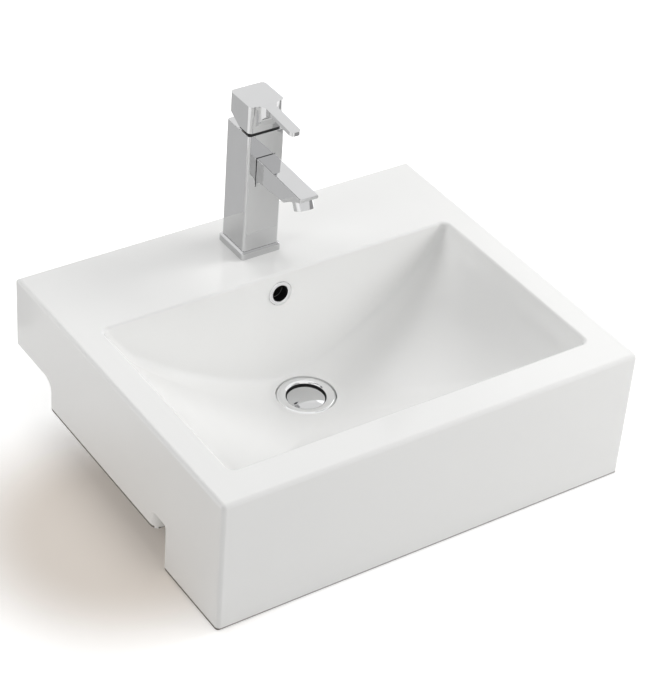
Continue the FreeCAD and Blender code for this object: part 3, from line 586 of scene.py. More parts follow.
@dataclass(frozen=True)
class GlazeFinish(Finish):
    """Glazed ceramic, rough and painted dark as shade where the piece's own attribute marks clay without
    glaze.
    """

    # Dark colour of the clay without glaze: painted shade along the foot edges and in the duct, a paler share
    # of it on the undersides.
    bare_shade_colour: Colour = (0.20, 0.185, 0.17)
    bare_gloss: float = 0.7
    mask: str = "unglazed"

    def wiped_and_shaded(self, desk: Desk) -> bpy.types.NodeSocket:
        """Return the socket that is 1 where the clay has no glaze and is painted dark as shade."""
        return desk.add("ShaderNodeAttribute", attribute_name=self.mask).outputs["Fac"]

    def colour(self, desk: Desk, effect: bpy.types.Node) -> bpy.types.NodeSocket:
        """Return the glaze's colour, mixed towards a dark colour, painted shade, where the clay has no glaze.
        """
        return desk.mix(self.wiped_and_shaded(desk), super().colour(desk, effect), self.bare_shade_colour)

    def rough(self, desk: Desk, effect: bpy.types.Node) -> bpy.types.NodeSocket:
        """Return the glaze's roughness, rougher where the clay has no glaze."""
        smooth = super().rough(desk, effect)
        added = desk.math("MULTIPLY", self.wiped_and_shaded(desk), self.bare_gloss)
        return desk.math("ADD", smooth, added)

    def height(self, desk: Desk, effect: bpy.types.Node) -> bpy.types.NodeSocket:
        """Return the glaze's slow waves, with the clay's grit where it has no glaze."""
        grit = desk.math("MULTIPLY", self.wiped_and_shaded(desk), effect.outputs["Grain"])
        return desk.math("ADD", effect.outputs["Patch"], grit)


@dataclass(frozen=True)
class MachinedFinish(Finish):
    """Metal with the fine rings that a cutting tool leaves."""

    pitch: float = 2500.0

    def height(self, desk: Desk, effect: bpy.types.Node) -> bpy.types.NodeSocket:
        """Return the tool's rings, broken up by the grain."""
        place = desk.add("ShaderNodeTexCoord").outputs["Object"]
        rings = desk.add("ShaderNodeTexWave", {
            "Vector": place, "Scale": self.pitch, "Distortion": 1.5, "Detail": 1.0},
            wave_type="BANDS", bands_direction="Z")
        return desk.math("ADD", rings.outputs["Fac"], effect.outputs["Grain"])


FINISHES = {
    finish.name: finish
    for finish in (
        GlazeFinish("glazed_white", "glazed_white", (0.90, 0.90, 0.89), (0.885, 0.885, 0.875),
                    gloss=(0.12, 0.18), patch=14.0, grain=1500.0, relief=0.05, depth=0.0008),
        Finish("chrome", "chrome", (0.64, 0.642, 0.646), (0.61, 0.612, 0.616),
               metallic=1.0, gloss=(0.03, 0.06), patch=45.0, grain=2500.0, relief=0.02),
        # A brighter copy of the chrome for the waste and the overflow ring: painted light.
        Finish("bright_painted_chrome", "chrome", (0.86, 0.862, 0.866), (0.83, 0.832, 0.836),
               metallic=1.0, gloss=(0.03, 0.06), patch=45.0, grain=2500.0, relief=0.02),
        MachinedFinish("brass", "brass", (0.72, 0.52, 0.24), (0.60, 0.42, 0.18),
                       metallic=1.0, gloss=(0.22, 0.34), patch=60.0, grain=3000.0, relief=0.25),
        MachinedFinish("steel", "steel", (0.56, 0.57, 0.58), (0.47, 0.48, 0.50),
                       metallic=1.0, gloss=(0.25, 0.40), patch=60.0, grain=3000.0, relief=0.25),
        Finish("rubber", "rubber", (0.030, 0.030, 0.031), (0.018, 0.018, 0.019),
               gloss=(0.55, 0.75), patch=80.0, grain=2500.0, relief=0.4),
        Finish("white_rubber", "white_rubber", (0.66, 0.66, 0.64), (0.58, 0.58, 0.56),
               gloss=(0.45, 0.6), patch=80.0, grain=2500.0, relief=0.3),
        Finish("grey_plastic", "grey_plastic", (0.20, 0.205, 0.21), (0.15, 0.155, 0.16),
               gloss=(0.35, 0.5), patch=80.0, grain=3500.0, relief=0.3),
        Finish("black_plastic", "black_plastic", (0.016, 0.016, 0.017), (0.010, 0.010, 0.011),
               gloss=(0.3, 0.45), patch=80.0, grain=3500.0, relief=0.3),
        Finish("disc_ceramic", "disc_ceramic", (0.74, 0.74, 0.72), (0.68, 0.68, 0.66),
               gloss=(0.12, 0.2), patch=80.0, grain=3500.0, relief=0.1),
    )
}


def dress(item: bpy.types.Object, body: str, finish: str, *nodes: str) -> bpy.types.Object:
    """Give a piece its finish and its place among the moving bodies.

    Args:
        item: The piece.
        body: The body that it moves with.
        finish: The name of its finish.
        nodes: The solids that it stands for.

    Returns:
        The same piece.
    """
    item.data.materials.clear()
    item.data.materials.append(FINISHES[finish].material())
    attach(item, body)
    if nodes:
        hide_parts(*nodes)
    log.info("%s: %d faces, rides on %s, finish %s", item.name, len(item.data.polygons), body, finish)
    return item


def paint(item: bpy.types.Object, finish: str, chosen: Callable[[Vector], bool]) -> None:
    """Give some faces of a dressed piece a second finish.

    Args:
        item: The piece.
        finish: Name of the second finish.
        chosen: Test of a face by its middle, in millimetres of the row frame.
    """
    item.data.materials.append(FINISHES[finish].material())
    for face in item.data.polygons:
        if chosen(face.center / MM):
            face.material_index = len(item.data.materials) - 1


# Shapes made by geometry nodes


class NodeShape:
    """A geometry node tree that makes a repeated shape from named sizes."""

    def __init__(self, name: str, sizes: Sequence[str]) -> None:
        """Make an empty tree.

        Args:
            name: Name of the tree.
            sizes: Names of its size inputs.
        """
        self.tree = bpy.data.node_groups.new(name, "GeometryNodeTree")
        self.desk = Desk(self.tree)
        for label in sizes:
            self.tree.interface.new_socket(label, in_out="INPUT", socket_type="NodeSocketFloat")
        self.tree.interface.new_socket("Material", in_out="INPUT", socket_type="NodeSocketMaterial")
        self.tree.interface.new_socket("Geometry", in_out="OUTPUT", socket_type="NodeSocketGeometry")
        self.entry = self.desk.add("NodeGroupInput").outputs

    def close(self, geometry: bpy.types.NodeSocket) -> None:
        """End the tree: make the instances real, set the material and put the shape out."""
        real = self.desk.add("GeometryNodeRealizeInstances", {"Geometry": geometry})
        dressed = self.desk.add("GeometryNodeSetMaterial", {
            "Geometry": real.outputs["Geometry"], "Material": self.entry["Material"]})
        self.desk.add("NodeGroupOutput", {"Geometry": dressed.outputs["Geometry"]})

    def make(self, name: str, finish: str, sizes: dict[str, float]) -> bpy.types.Object:
        """Return the shape as a plain mesh.

        Args:
            name: Name of the object.
            finish: Name of its finish.
            sizes: Values of the tree's size inputs, in millimetres or counts.

        Returns:
            The mesh object, in millimetres about its own origin.
        """
        item = link(name, bpy.data.meshes.new(name))
        change = item.modifiers.new(name, "NODES")
        change.node_group = self.tree
        for socket in self.tree.interface.items_tree:
            if socket.in_out != "INPUT":
                continue
            value = FINISHES[finish].material() if socket.name == "Material" else sizes[socket.name]
            change[socket.identifier] = value
        return bake_modifiers(item)


class HelixShape(NodeShape):
    """A wire wound at an even pitch: a screw thread or a coil spring."""

    POINTS_PER_TURN = 40

    def __init__(self) -> None:
        """Build the tree: a spiral with a round wire along it."""
        super().__init__("helix", ("Turns", "Radius", "Height", "Wire Radius", "Wire Sides"))
        desk, entry = self.desk, self.entry
        spiral = desk.add("GeometryNodeCurveSpiral", {
            "Resolution": self.POINTS_PER_TURN, "Rotations": entry["Turns"], "Start Radius": entry["Radius"],
            "End Radius": entry["Radius"], "Height": entry["Height"]})
        wire = desk.add("GeometryNodeCurvePrimitiveCircle", {
            "Resolution": entry["Wire Sides"], "Radius": entry["Wire Radius"]})
        tube = desk.add("GeometryNodeCurveToMesh", {
            "Curve": spiral.outputs["Curve"], "Profile Curve": wire.outputs["Curve"], "Fill Caps": True})
        self.close(tube.outputs["Mesh"])


class SieveShape(NodeShape):
    """A round disc with rows of small holes right through it."""

    ROWS = 17
    HOLE_SIDES = 10
    DISC_SIDES = 64
    PEG_REACH = 3.0

    def __init__(self) -> None:
        """Build the tree: pegs on a grid, every second row shifted, taken out of a disc."""
        super().__init__("sieve", ("Disc Radius", "Thickness", "Hole Radius", "Pitch"))
        desk, entry = self.desk, self.entry
        span = desk.math("MULTIPLY", entry["Pitch"], float(self.ROWS - 1))
        grid = desk.add("GeometryNodeMeshGrid", {
            "Size X": span, "Size Y": span, "Vertices X": self.ROWS, "Vertices Y": self.ROWS})
        place = desk.add("GeometryNodeInputPosition").outputs["Position"]
        row = desk.add("ShaderNodeSeparateXYZ", {"Vector": place}).outputs
        odd = desk.math("PINGPONG", desk.math("DIVIDE", row["Y"], entry["Pitch"]), 1.0)
        shift = desk.math("MULTIPLY", odd, desk.math("MULTIPLY", entry["Pitch"], 0.5))
        offset = desk.add("ShaderNodeCombineXYZ", {"X": shift})
        moved = desk.add("GeometryNodeSetPosition", {
            "Geometry": grid.outputs["Mesh"], "Offset": offset.outputs["Vector"]})
        reach = desk.add("ShaderNodeVectorMath", {0: place}, operation="LENGTH").outputs["Value"]
        margin = desk.math("SUBTRACT", entry["Disc Radius"], entry["Pitch"])
        inside = desk.add("FunctionNodeCompare", {0: reach, 1: margin}, operation="LESS_THAN")
        peg = desk.add("GeometryNodeMeshCylinder", {
            "Vertices": self.HOLE_SIDES, "Radius": entry["Hole Radius"],
            "Depth": desk.math("MULTIPLY", entry["Thickness"], self.PEG_REACH)})
        pegs = desk.add("GeometryNodeInstanceOnPoints", {
            "Points": moved.outputs["Geometry"], "Selection": inside.outputs["Result"],
            "Instance": peg.outputs["Mesh"]})
        pins = desk.add("GeometryNodeRealizeInstances", {"Geometry": pegs.outputs["Instances"]})
        disc = desk.add("GeometryNodeMeshCylinder", {
            "Vertices": self.DISC_SIDES, "Radius": entry["Disc Radius"], "Depth": entry["Thickness"]})
        sieve = desk.add("GeometryNodeMeshBoolean", {
            "Mesh 1": disc.outputs["Mesh"], "Mesh 2": pins.outputs["Geometry"]}, operation="DIFFERENCE")
        self.close(sieve.outputs["Mesh"])


# Ceramic


@dataclass
class BowlForm:
    """The rule that the bowl's form follows, from its rim down to its floor."""

    half: float = 216.0
    front: float = -371.0
    back: float = -117.0
    depth: float = 120.0
    corner: float = 8.0
    drain_y: float = -181.0
    floor_half: float = 37.0
    floor_corner: float = 33.0
    flatness: float = 1.5
    fullness: float = 0.75
    rim_drop: float = 3.2
    lean_step: float = 0.2
    deck_lift: float = 0.004
    rings: int = 56
    fine_steps: int = 2000
    rim_steps: int = 7
    side_points: int = 24
    corner_points: int = 10

    def share(self, step: float) -> float:
        """Return how much of the opening is left at a share of the depth."""
        return (1 - min(step, 1.0) ** self.flatness) ** self.fullness

    def limits(self, step: float, grow: float = 0.0) -> tuple[float, float, float, float]:
        """Return the half width, front, back and corner radius at one level.

        Args:
            step: Share of the depth.
            grow: Distance by which the form is larger than the bowl.

        Returns:
            The four sizes, in millimetres.
        """
        share = self.share(step)
        low_front = self.drain_y - self.floor_half
        low_back = self.drain_y + self.floor_half
        half = self.floor_half + (self.half - self.floor_half) * share
        front = low_front + (self.front - low_front) * share
        back = low_back + (self.back - low_back) * share
        corner = self.floor_corner + (self.corner - self.floor_corner) * share
        return half + grow, front - grow, back + grow, corner + grow

    def ring(self, step: float, grow: float = 0.0) -> list[Vector]:
        """Return evenly matched points round the form at one level.

        Args:
            step: Share of the depth.
            grow: Distance by which the form is larger than the bowl.

        Returns:
            Points in plan, the same number at every level.
        """
        half, front, back, corner = self.limits(step, grow)
        centres = (
            (half - corner, front + corner, -90.0),
            (half - corner, back - corner, 0.0),
            (-half + corner, back - corner, 90.0),
            (-half + corner, front + corner, 180.0),
        )
        points = []
        for index, (x, y, start) in enumerate(centres):
            for count in range(self.corner_points + 1):
                angle = math.radians(start + 90.0 * count / self.corner_points)
                points.append(Vector((x + corner * math.cos(angle), y + corner * math.sin(angle))))
            next_x, next_y, next_start = centres[(index + 1) % len(centres)]
            angle = math.radians(next_start)
            end = Vector((next_x + corner * math.cos(angle), next_y + corner * math.sin(angle)))
            begin = points[-1].copy()
            points += [begin.lerp(end, count / self.side_points) for count in range(1, self.side_points)]
        return points

    def levels(self, start: float) -> list[float]:
        """Return shares of the depth at even distances down the side wall.

        Args:
            start: Share of the depth at which the list starts.

        Returns:
            The shares, from the start down to the floor.
        """
        fine = self.fine_steps
        steps = [start + (1 - start) * index / fine for index in range(fine + 1)]
        run = self.half - self.floor_half
        lengths = [0.0]
        for above, below in zip(steps, steps[1:]):
            across = run * (self.share(above) - self.share(below))
            lengths.append(lengths[-1] + math.hypot(across, self.depth * (below - above)))
        wanted = [lengths[-1] * index / self.rings for index in range(self.rings + 1)]
        chosen, place = [], 0
        for length in wanted:
            while place < fine and lengths[place] < length:
                place += 1
            chosen.append(steps[place])
        return chosen

    def rim(self, top: float) -> list[list[Vector]]:
        """Return the rings of the rounding between the deck and the wall, from the deck down.

        Args:
            top: Height of the deck.

        Returns:
            Rings of points, each ring the same number of points.
        """
        start = self.rim_drop
        wall = self.ring(start / self.depth)
        below = self.ring((start + self.lean_step) / self.depth)
        rings: list[list[Vector]] = [[] for _ in range(self.rim_steps + 1)]
        count = len(wall)
        for index, point in enumerate(wall):
            along = wall[(index + 1) % count] - wall[index - 1]
            out = Vector((along.y, -along.x)).normalized()
            lean = math.atan2((point - below[index]).dot(out), self.lean_step)
            radius = start / (1 - math.sin(lean))
            for step in range(self.rim_steps + 1):
                angle = lean + (math.pi / 2 - lean) * step / self.rim_steps
                away = radius * (math.cos(lean) - math.cos(angle))
                rise = radius * (math.sin(angle) - math.sin(lean))
                place = point + out * away
                rings[self.rim_steps - step].append(Vector((place.x, place.y, top - start + rise)))
        return rings

    def inner(self, top: float) -> bpy.types.Object:
        """Return the solid that the bowl takes out of the ceramic.

        Args:
            top: Height of the deck.

        Returns:
            The cutting solid.
        """
        rings = self.rim(top)
        first = [Vector((point.x, point.y, top + OVERRUN)) for point in rings[0]]
        lift = Vector((0.0, 0.0, self.deck_lift))
        rings[0] = [point + lift for point in rings[0]]
        for step in self.levels(self.rim_drop / self.depth)[1:]:
            level = top - self.depth * step
            rings.append([Vector((point.x, point.y, level)) for point in self.ring(step)])
        return loft("bowl", [first, *rings])

    def outer(self, top: float, wall: float) -> bpy.types.Object:
        """Return the solid that the bowl's wall fills.

        Args:
            top: Height of the deck.
            wall: Thickness of the wall.

        Returns:
            The solid of the bowl and its wall.
        """
        rings = []
        for step in self.levels(0.0):
            level = top - (self.depth + wall) * step
            rings.append([Vector((point.x, point.y, level)) for point in self.ring(step, wall)])
        return loft("bowl_shell", rings)


def loft(name: str, rings: Sequence[Sequence[Vector]]) -> bpy.types.Object:
    """Return a solid through rings of matched points, closed at both ends.

    Args:
        name: Name of the object.
        rings: Rings of points, each ring the same number of points.

    Returns:
        The solid as a mesh object.
    """
    count = len(rings[0])
    vertices = [point for ring in rings for point in ring]
    faces = [list(range(count)), list(range(len(vertices) - count, len(vertices)))]
    for level in range(len(rings) - 1):
        base = level * count
        for index in range(count):
            follower = (index + 1) % count
            faces.append([base + index, base + follower, base + count + follower, base + count + index])
    return solid(name, vertices, faces)


@dataclass
class Ceramic:
    """The basin's casting."""

    bowl: BowlForm = field(default_factory=BowlForm)
    apron_depth: float = 102.0
    slot_width: float = 20.0
    slot_roof: float = -15.0
    tub_rear: float = -71.0
    tub_foot: float = -37.0
    wall: float = 12.0
    bowl_wall: float = 10.0
    deck: float = 16.0
    edge_round: float = 5.0
    edge_steps: int = 8
    edge_weld: float = 0.02
    foot_round: float = 2.0
    skirt_round: float = 15.0
    tub_round: float = 3.0
    tub_corner: float = 11.0
    slot_round: float = 5.0
    small_round: float = 2.0
    # Height of the band above each foot where the clay has no glaze and is painted dark as shade.
    wiped_and_shaded: float = 2.4
    pale: float = 0.4
    flat_normal: float = -0.95
    under_normal: float = -0.2
    tap_y: float = -54.0
    tap_hole: float = 17.5
    boss: float = 38.0
    boss_drop: float = 36.0
    drain_hole: float = 24.0
    seat_radius: float = 33.3
    seat_depth: float = 5.5
    duct_half: float = 12.0
    duct_wall: float = 7.0
    duct_front: float = -106.0
    duct_rear: float = -92.0
    duct_top: float = 71.0
    duct_cover: float = 10.0
    duct_gap: float = 14.0
    overflow_depth: float = 25.0
    overflow_hole: float = 11.0
    overflow_seat: float = 14.3
    overflow_sink: float = 0.6

    def __post_init__(self) -> None:
        """Take the outer limits from the frame."""
        low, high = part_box("basin_body")
        self.half = high.x / MM
        self.rear = high.y / MM
        self.front = low.y / MM
        self.top = high.z / MM
        self.foot = low.z / MM
        self.apron_rear = self.front + self.apron_depth
        self.tub_front = self.apron_rear + self.slot_width
        self.floor = self.top - self.bowl.depth
        self.boss_foot = self.floor - self.boss_drop
        self.duct_roof = self.floor - self.duct_cover
        self.duct_floor = self.duct_roof - self.duct_gap

    def blank(self) -> bpy.types.Object:
        """Return the outer block with its edges rounded.

        Returns:
            The block before it is hollowed.
        """
        side = outline([
            (self.rear, 0.0),
            (self.rear, self.top),
            (self.front, self.top),
            (self.front, self.foot + self.foot_round),
            (self.front + self.foot_round, self.foot, self.foot_round, Turn.LEFT),
            (self.apron_rear - self.foot_round, self.foot),
            (self.apron_rear, self.foot + self.foot_round, self.foot_round, Turn.LEFT),
            (self.apron_rear, self.slot_roof - self.slot_round),
            (self.apron_rear + self.slot_round, self.slot_roof, self.slot_round, Turn.RIGHT),
            (self.tub_front - self.slot_round, self.slot_roof),
            (self.tub_front, self.slot_roof - self.slot_round, self.slot_round, Turn.RIGHT),
            (self.tub_front, self.tub_foot + self.tub_round),
            (self.tub_front + self.tub_round, self.tub_foot, self.tub_round, Turn.LEFT),
            (self.tub_rear - self.tub_round, self.tub_foot),
            (self.tub_rear, self.tub_foot + self.tub_round, self.tub_round, Turn.LEFT),
            (self.tub_rear, -self.skirt_round),
            (self.tub_rear + self.skirt_round, 0.0, self.skirt_round, Turn.RIGHT),
        ])
        item = prism("basin_body", side, Along.ACROSS, -self.half - OVERRUN, self.half + OVERRUN)
        corner = self.edge_round
        plan = outline([
            (self.half, self.rear),
            (-self.half, self.rear),
            (-self.half, self.front + corner),
            (-self.half + corner, self.front, corner, Turn.LEFT),
            (self.half - corner, self.front),
            (self.half, self.front + corner, corner, Turn.LEFT),
        ])
        combine(item, Join.SHARE, prism("plan", plan, Along.UPWARD, self.foot - OVERRUN, self.top + OVERRUN))
        combine(item, Join.TAKE, self.tub_corner_waste(-1.0), self.tub_corner_waste(1.0))
        self.round_top(item)
        return ease(item, self.small_round, angle=60.0)

    def tub_corner_waste(self, side: float) -> bpy.types.Object:
        """Return what is taken off one front corner of the tub, to round it up to the slot's roof.

        Args:
            side: -1 for the left corner, 1 for the right one.

        Returns:
            The cutting solid.
        """
        corner, flare = self.tub_corner, self.slot_round
        low, high = self.tub_foot - OVERRUN, self.slot_roof
        inner, outer = side * (self.half - corner), side * (self.half + OVERRUN)
        rear = self.tub_front + corner
        left, right = sorted((inner, outer))
        item = block("tub_corner", (left, self.tub_front - flare, low), (right, rear, high))
        post = lathe("post", outline([
            (0.0, low - OVERRUN),
            (corner, low - OVERRUN),
            (corner, high - flare),
            (corner + flare, high, flare, Turn.RIGHT),
            (corner + flare, high + OVERRUN),
            (0.0, high + OVERRUN),
        ]))
        post.data.transform(Matrix.Translation((inner, rear, 0.0)))
        return combine(item, Join.TAKE, post)

    def round_top(self, item: bpy.types.Object) -> None:
        """Round the edges of the top face."""
        mesh = item.data
        weights = mesh.attributes.new("bevel_weight_edge", "FLOAT", "EDGE")
        for edge in mesh.edges:
            heights = [mesh.vertices[index].co.z for index in edge.vertices]
            weights.data[edge.index].value = 1.0 if min(heights) > self.top - TOUCH else 0.0
        change = item.modifiers.new("round", "BEVEL")
        change.width = self.edge_round
        change.segments = self.edge_steps
        change.limit_method = "WEIGHT"
        change.use_clamp_overlap = False
        bake_modifiers(item)
        work = bmesh.new()
        work.from_mesh(item.data)
        bmesh.ops.remove_doubles(work, verts=work.verts, dist=self.edge_weld)
        work.to_mesh(item.data)
        work.free()
        old = item.data.attributes.get("bevel_weight_edge")
        if old:
            item.data.attributes.remove(old)

    def duct(self, grow: float) -> list[bpy.types.Object]:
        """Return the two runs of the overflow duct.

        Args:
            grow: Wall added round the duct's space, or 0 for the space itself.

        Returns:
            The upright run and the level run.
        """
        half = self.duct_half + grow
        upright_front = self.duct_front - grow * 2
        low, high = self.duct_floor - grow, self.duct_roof + grow
        rear = self.duct_rear + grow
        return [
            block("duct_upright", (-half, upright_front, low), (half, rear, self.duct_top + grow)),
            block("duct_level", (-half, self.bowl.drain_y, low), (half, rear, high)),
        ]

    def hollow(self) -> bpy.types.Object:
        """Return the open space under the deck, round the bowl's shell.

        Returns:
            The cutting solid.
        """
        low = self.boss_foot - OVERRUN
        roof = self.top - self.deck
        side = [
            (self.rear - self.wall, low),
            (self.rear - self.wall, roof),
            (self.front + self.wall, roof),
            (self.front + self.wall, self.foot - OVERRUN),
            (self.apron_rear - self.wall, self.foot - OVERRUN),
            (self.apron_rear - self.wall, self.slot_roof + self.wall),
            (self.tub_front + self.wall, self.slot_roof + self.wall),
            (self.tub_front + self.wall, low),
        ]
        reach = self.half - self.wall
        space = prism("hollow", side, Along.ACROSS, -reach, reach)
        boss = rod("boss", self.boss, self.boss_foot, self.floor, 0.0, self.bowl.drain_y)
        shell = self.bowl.outer(self.top, self.bowl_wall)
        return combine(space, Join.TAKE, shell, *self.duct(self.duct_wall), boss)

    def wall_frame(self) -> tuple[Vector, Matrix]:
        """Return the overflow's middle on the bowl's back wall and the turn that sets a piece square on it.

        Returns:
            The point, in millimetres, and the rotation.
        """
        step = self.overflow_depth / self.bowl.depth
        small = 0.01
        run = self.bowl.limits(step - small)[2] - self.bowl.limits(step + small)[2]
        lean = math.atan2(run, 2 * small * self.bowl.depth)
        place = Vector((0.0, self.bowl.limits(step)[2], self.top - self.overflow_depth))
        return place, Matrix.Rotation(math.pi / 2 - lean, 4, "X")

    def wall_hole(self, name: str, radius: float, depth: float) -> bpy.types.Object:
        """Return a round cutter set square on the bowl's back wall.

        Args:
            name: Name of the cutter.
            radius: Its radius.
            depth: How far it reaches into the wall.

        Returns:
            The cutting solid.
        """
        place, turn = self.wall_frame()
        item = rod(name, radius, -depth, OVERRUN)
        item.data.transform(Matrix.Translation(place) @ turn)
        return item

    def in_duct(self, place: Vector) -> bool:
        """Tell whether a point lies on the walls of the overflow duct or on the rear face of its casting,
        which are painted dark as shade.
        """
        beside = abs(place.x) < self.duct_half + self.foot_round
        behind = self.duct_front - TOUCH < place.y < self.duct_rear + TOUCH
        upright = behind and place.z < self.duct_top + TOUCH
        level = self.bowl.drain_y < place.y and place.z < self.duct_roof + TOUCH
        return beside and place.z > self.duct_floor - TOUCH and (upright or level)

    def scribe(self, item: bpy.types.Object) -> None:
        """Cut edge lines round the casting where the bands painted dark as shade above its feet end."""
        work = bmesh.new()
        work.from_mesh(item.data)
        for foot in (self.foot, self.tub_foot):
            parts = [*work.verts, *work.edges, *work.faces]
            bmesh.ops.bisect_plane(
                work, geom=parts, dist=TOUCH,
                plane_co=(0.0, 0.0, foot + self.wiped_and_shaded), plane_no=(0.0, 0.0, 1.0))
        work.to_mesh(item.data)
        work.free()

    def on_foot_edge(self, place: Vector) -> bool:
        """Tell whether a point lies in the band painted dark as shade above the apron's or the tub's foot."""
        if place.z < self.foot + self.wiped_and_shaded:
            return True
        inset = self.small_round
        side = abs(place.x) > self.half - inset
        end = place.y < self.tub_front + inset or place.y > self.tub_rear - self.tub_round
        tub = self.apron_rear + inset < place.y < self.tub_rear + TOUCH
        return tub and (side or end) and self.tub_foot - TOUCH < place.z < self.tub_foot + self.wiped_and_shaded

    def mark_bare_clay_and_shade(self, item: bpy.types.Object) -> None:
        """Mark the edges of the feet and the overflow duct, where the clay is painted dark as shade, and,
        paler, the undersides of the feet.
        """
        mask = item.data.attributes.new("unglazed", "FLOAT", "FACE")
        feet = (self.foot, self.tub_foot, 0.0)
        near = self.foot_round
        for face in item.data.polygons:
            place = face.center / MM
            flat = face.normal.z < self.flat_normal
            low = any(-near < place.z - foot < near for foot in feet)
            stood = low and face.normal.z < self.under_normal
            edge = self.on_foot_edge(place) and not flat
            # Foot edges and duct walls take the full painted shade; the undersides a paler share.
            wiped_and_shaded = 1.0 if edge or self.in_duct(place) else 0.0
            mask.data[face.index].value = max(wiped_and_shaded, self.pale if stood else 0.0)

    def build(self) -> None:
        """Build the casting and dress it."""
        y = self.bowl.drain_y
        item = self.blank()
        boss = rod("boss", self.boss, self.boss_foot, self.floor - TOUCH, 0.0, y)
        base = self.bowl.outer(self.top, self.bowl_wall)
        low = (-self.half, self.front, self.boss_foot)
        high = (self.half, self.rear, self.tub_foot + TOUCH)
        under = block("under_tub", low, high)
        combine(item, Join.ADD, boss, combine(base, Join.SHARE, under), *self.duct(self.duct_wall))
        combine(item, Join.TAKE, self.hollow(), self.bowl.inner(self.top), *self.duct(0.0))
        hole_foot = self.top - self.deck - OVERRUN
        seat_foot = self.floor - self.seat_depth
        duct_middle = (self.duct_front + self.duct_rear) / 2
        combine(
            item,
            Join.TAKE,
            rod("tap_hole", self.tap_hole, hole_foot, self.top + OVERRUN, 0.0, self.tap_y),
            rod("drain_hole", self.drain_hole, self.boss_foot - OVERRUN, self.floor + OVERRUN, 0.0, y),
            rod("flange_seat", self.seat_radius, seat_foot, self.floor + OVERRUN, 0.0, y),
            self.wall_hole("overflow_hole", self.overflow_hole, duct_middle - self.bowl.back),
            self.wall_hole("overflow_seat", self.overflow_seat, self.overflow_sink),
        )
        self.scribe(item)
        seat(item, Vector((0.0, 0.0, 0.0)))
        self.mark_bare_clay_and_shade(item)
        dress(item, "basin", "glazed_white", "basin_body")


@dataclass
class OverflowRing:
    """The flanged ring in the bowl's back wall."""

    ceramic: Ceramic
    bore: float = 9.4
    sleeve: float = 10.7
    flange: float = 14.0
    rise: float = 1.2
    length: float = 11.0
    edge: float = 0.5

    def build(self) -> None:
        """Build the ring and dress it."""
        sink = self.ceramic.overflow_sink
        profile = soften([
            (self.sleeve, -self.length),
            (self.sleeve, -sink),
            (self.flange, -sink),
            (self.flange, sink),
            (self.flange - sink, self.rise),
            (self.bore + sink, self.rise),
            (self.bore, sink),
            (self.bore, -self.length),
        ], self.edge)
        item = lathe("overflow_ring", profile)
        place, turn = self.ceramic.wall_frame()
        seat(item, place, turn)
        dress(item, "basin", "bright_painted_chrome", "overflow_ring")
        back = (Matrix.Translation(place) @ turn).inverted()

        def in_shaded_bore(centre: Vector) -> bool:
            """Tell whether a point lies on the bore, behind the flange, which is painted black as shade."""
            near = back @ centre
            return near.z < -self.rise and near.xy.length < self.sleeve - self.rise / 2

        # The bore is painted black: painted shade inside the hole.
        paint(item, "black_plastic", in_shaded_bore)


# Waste and push plug


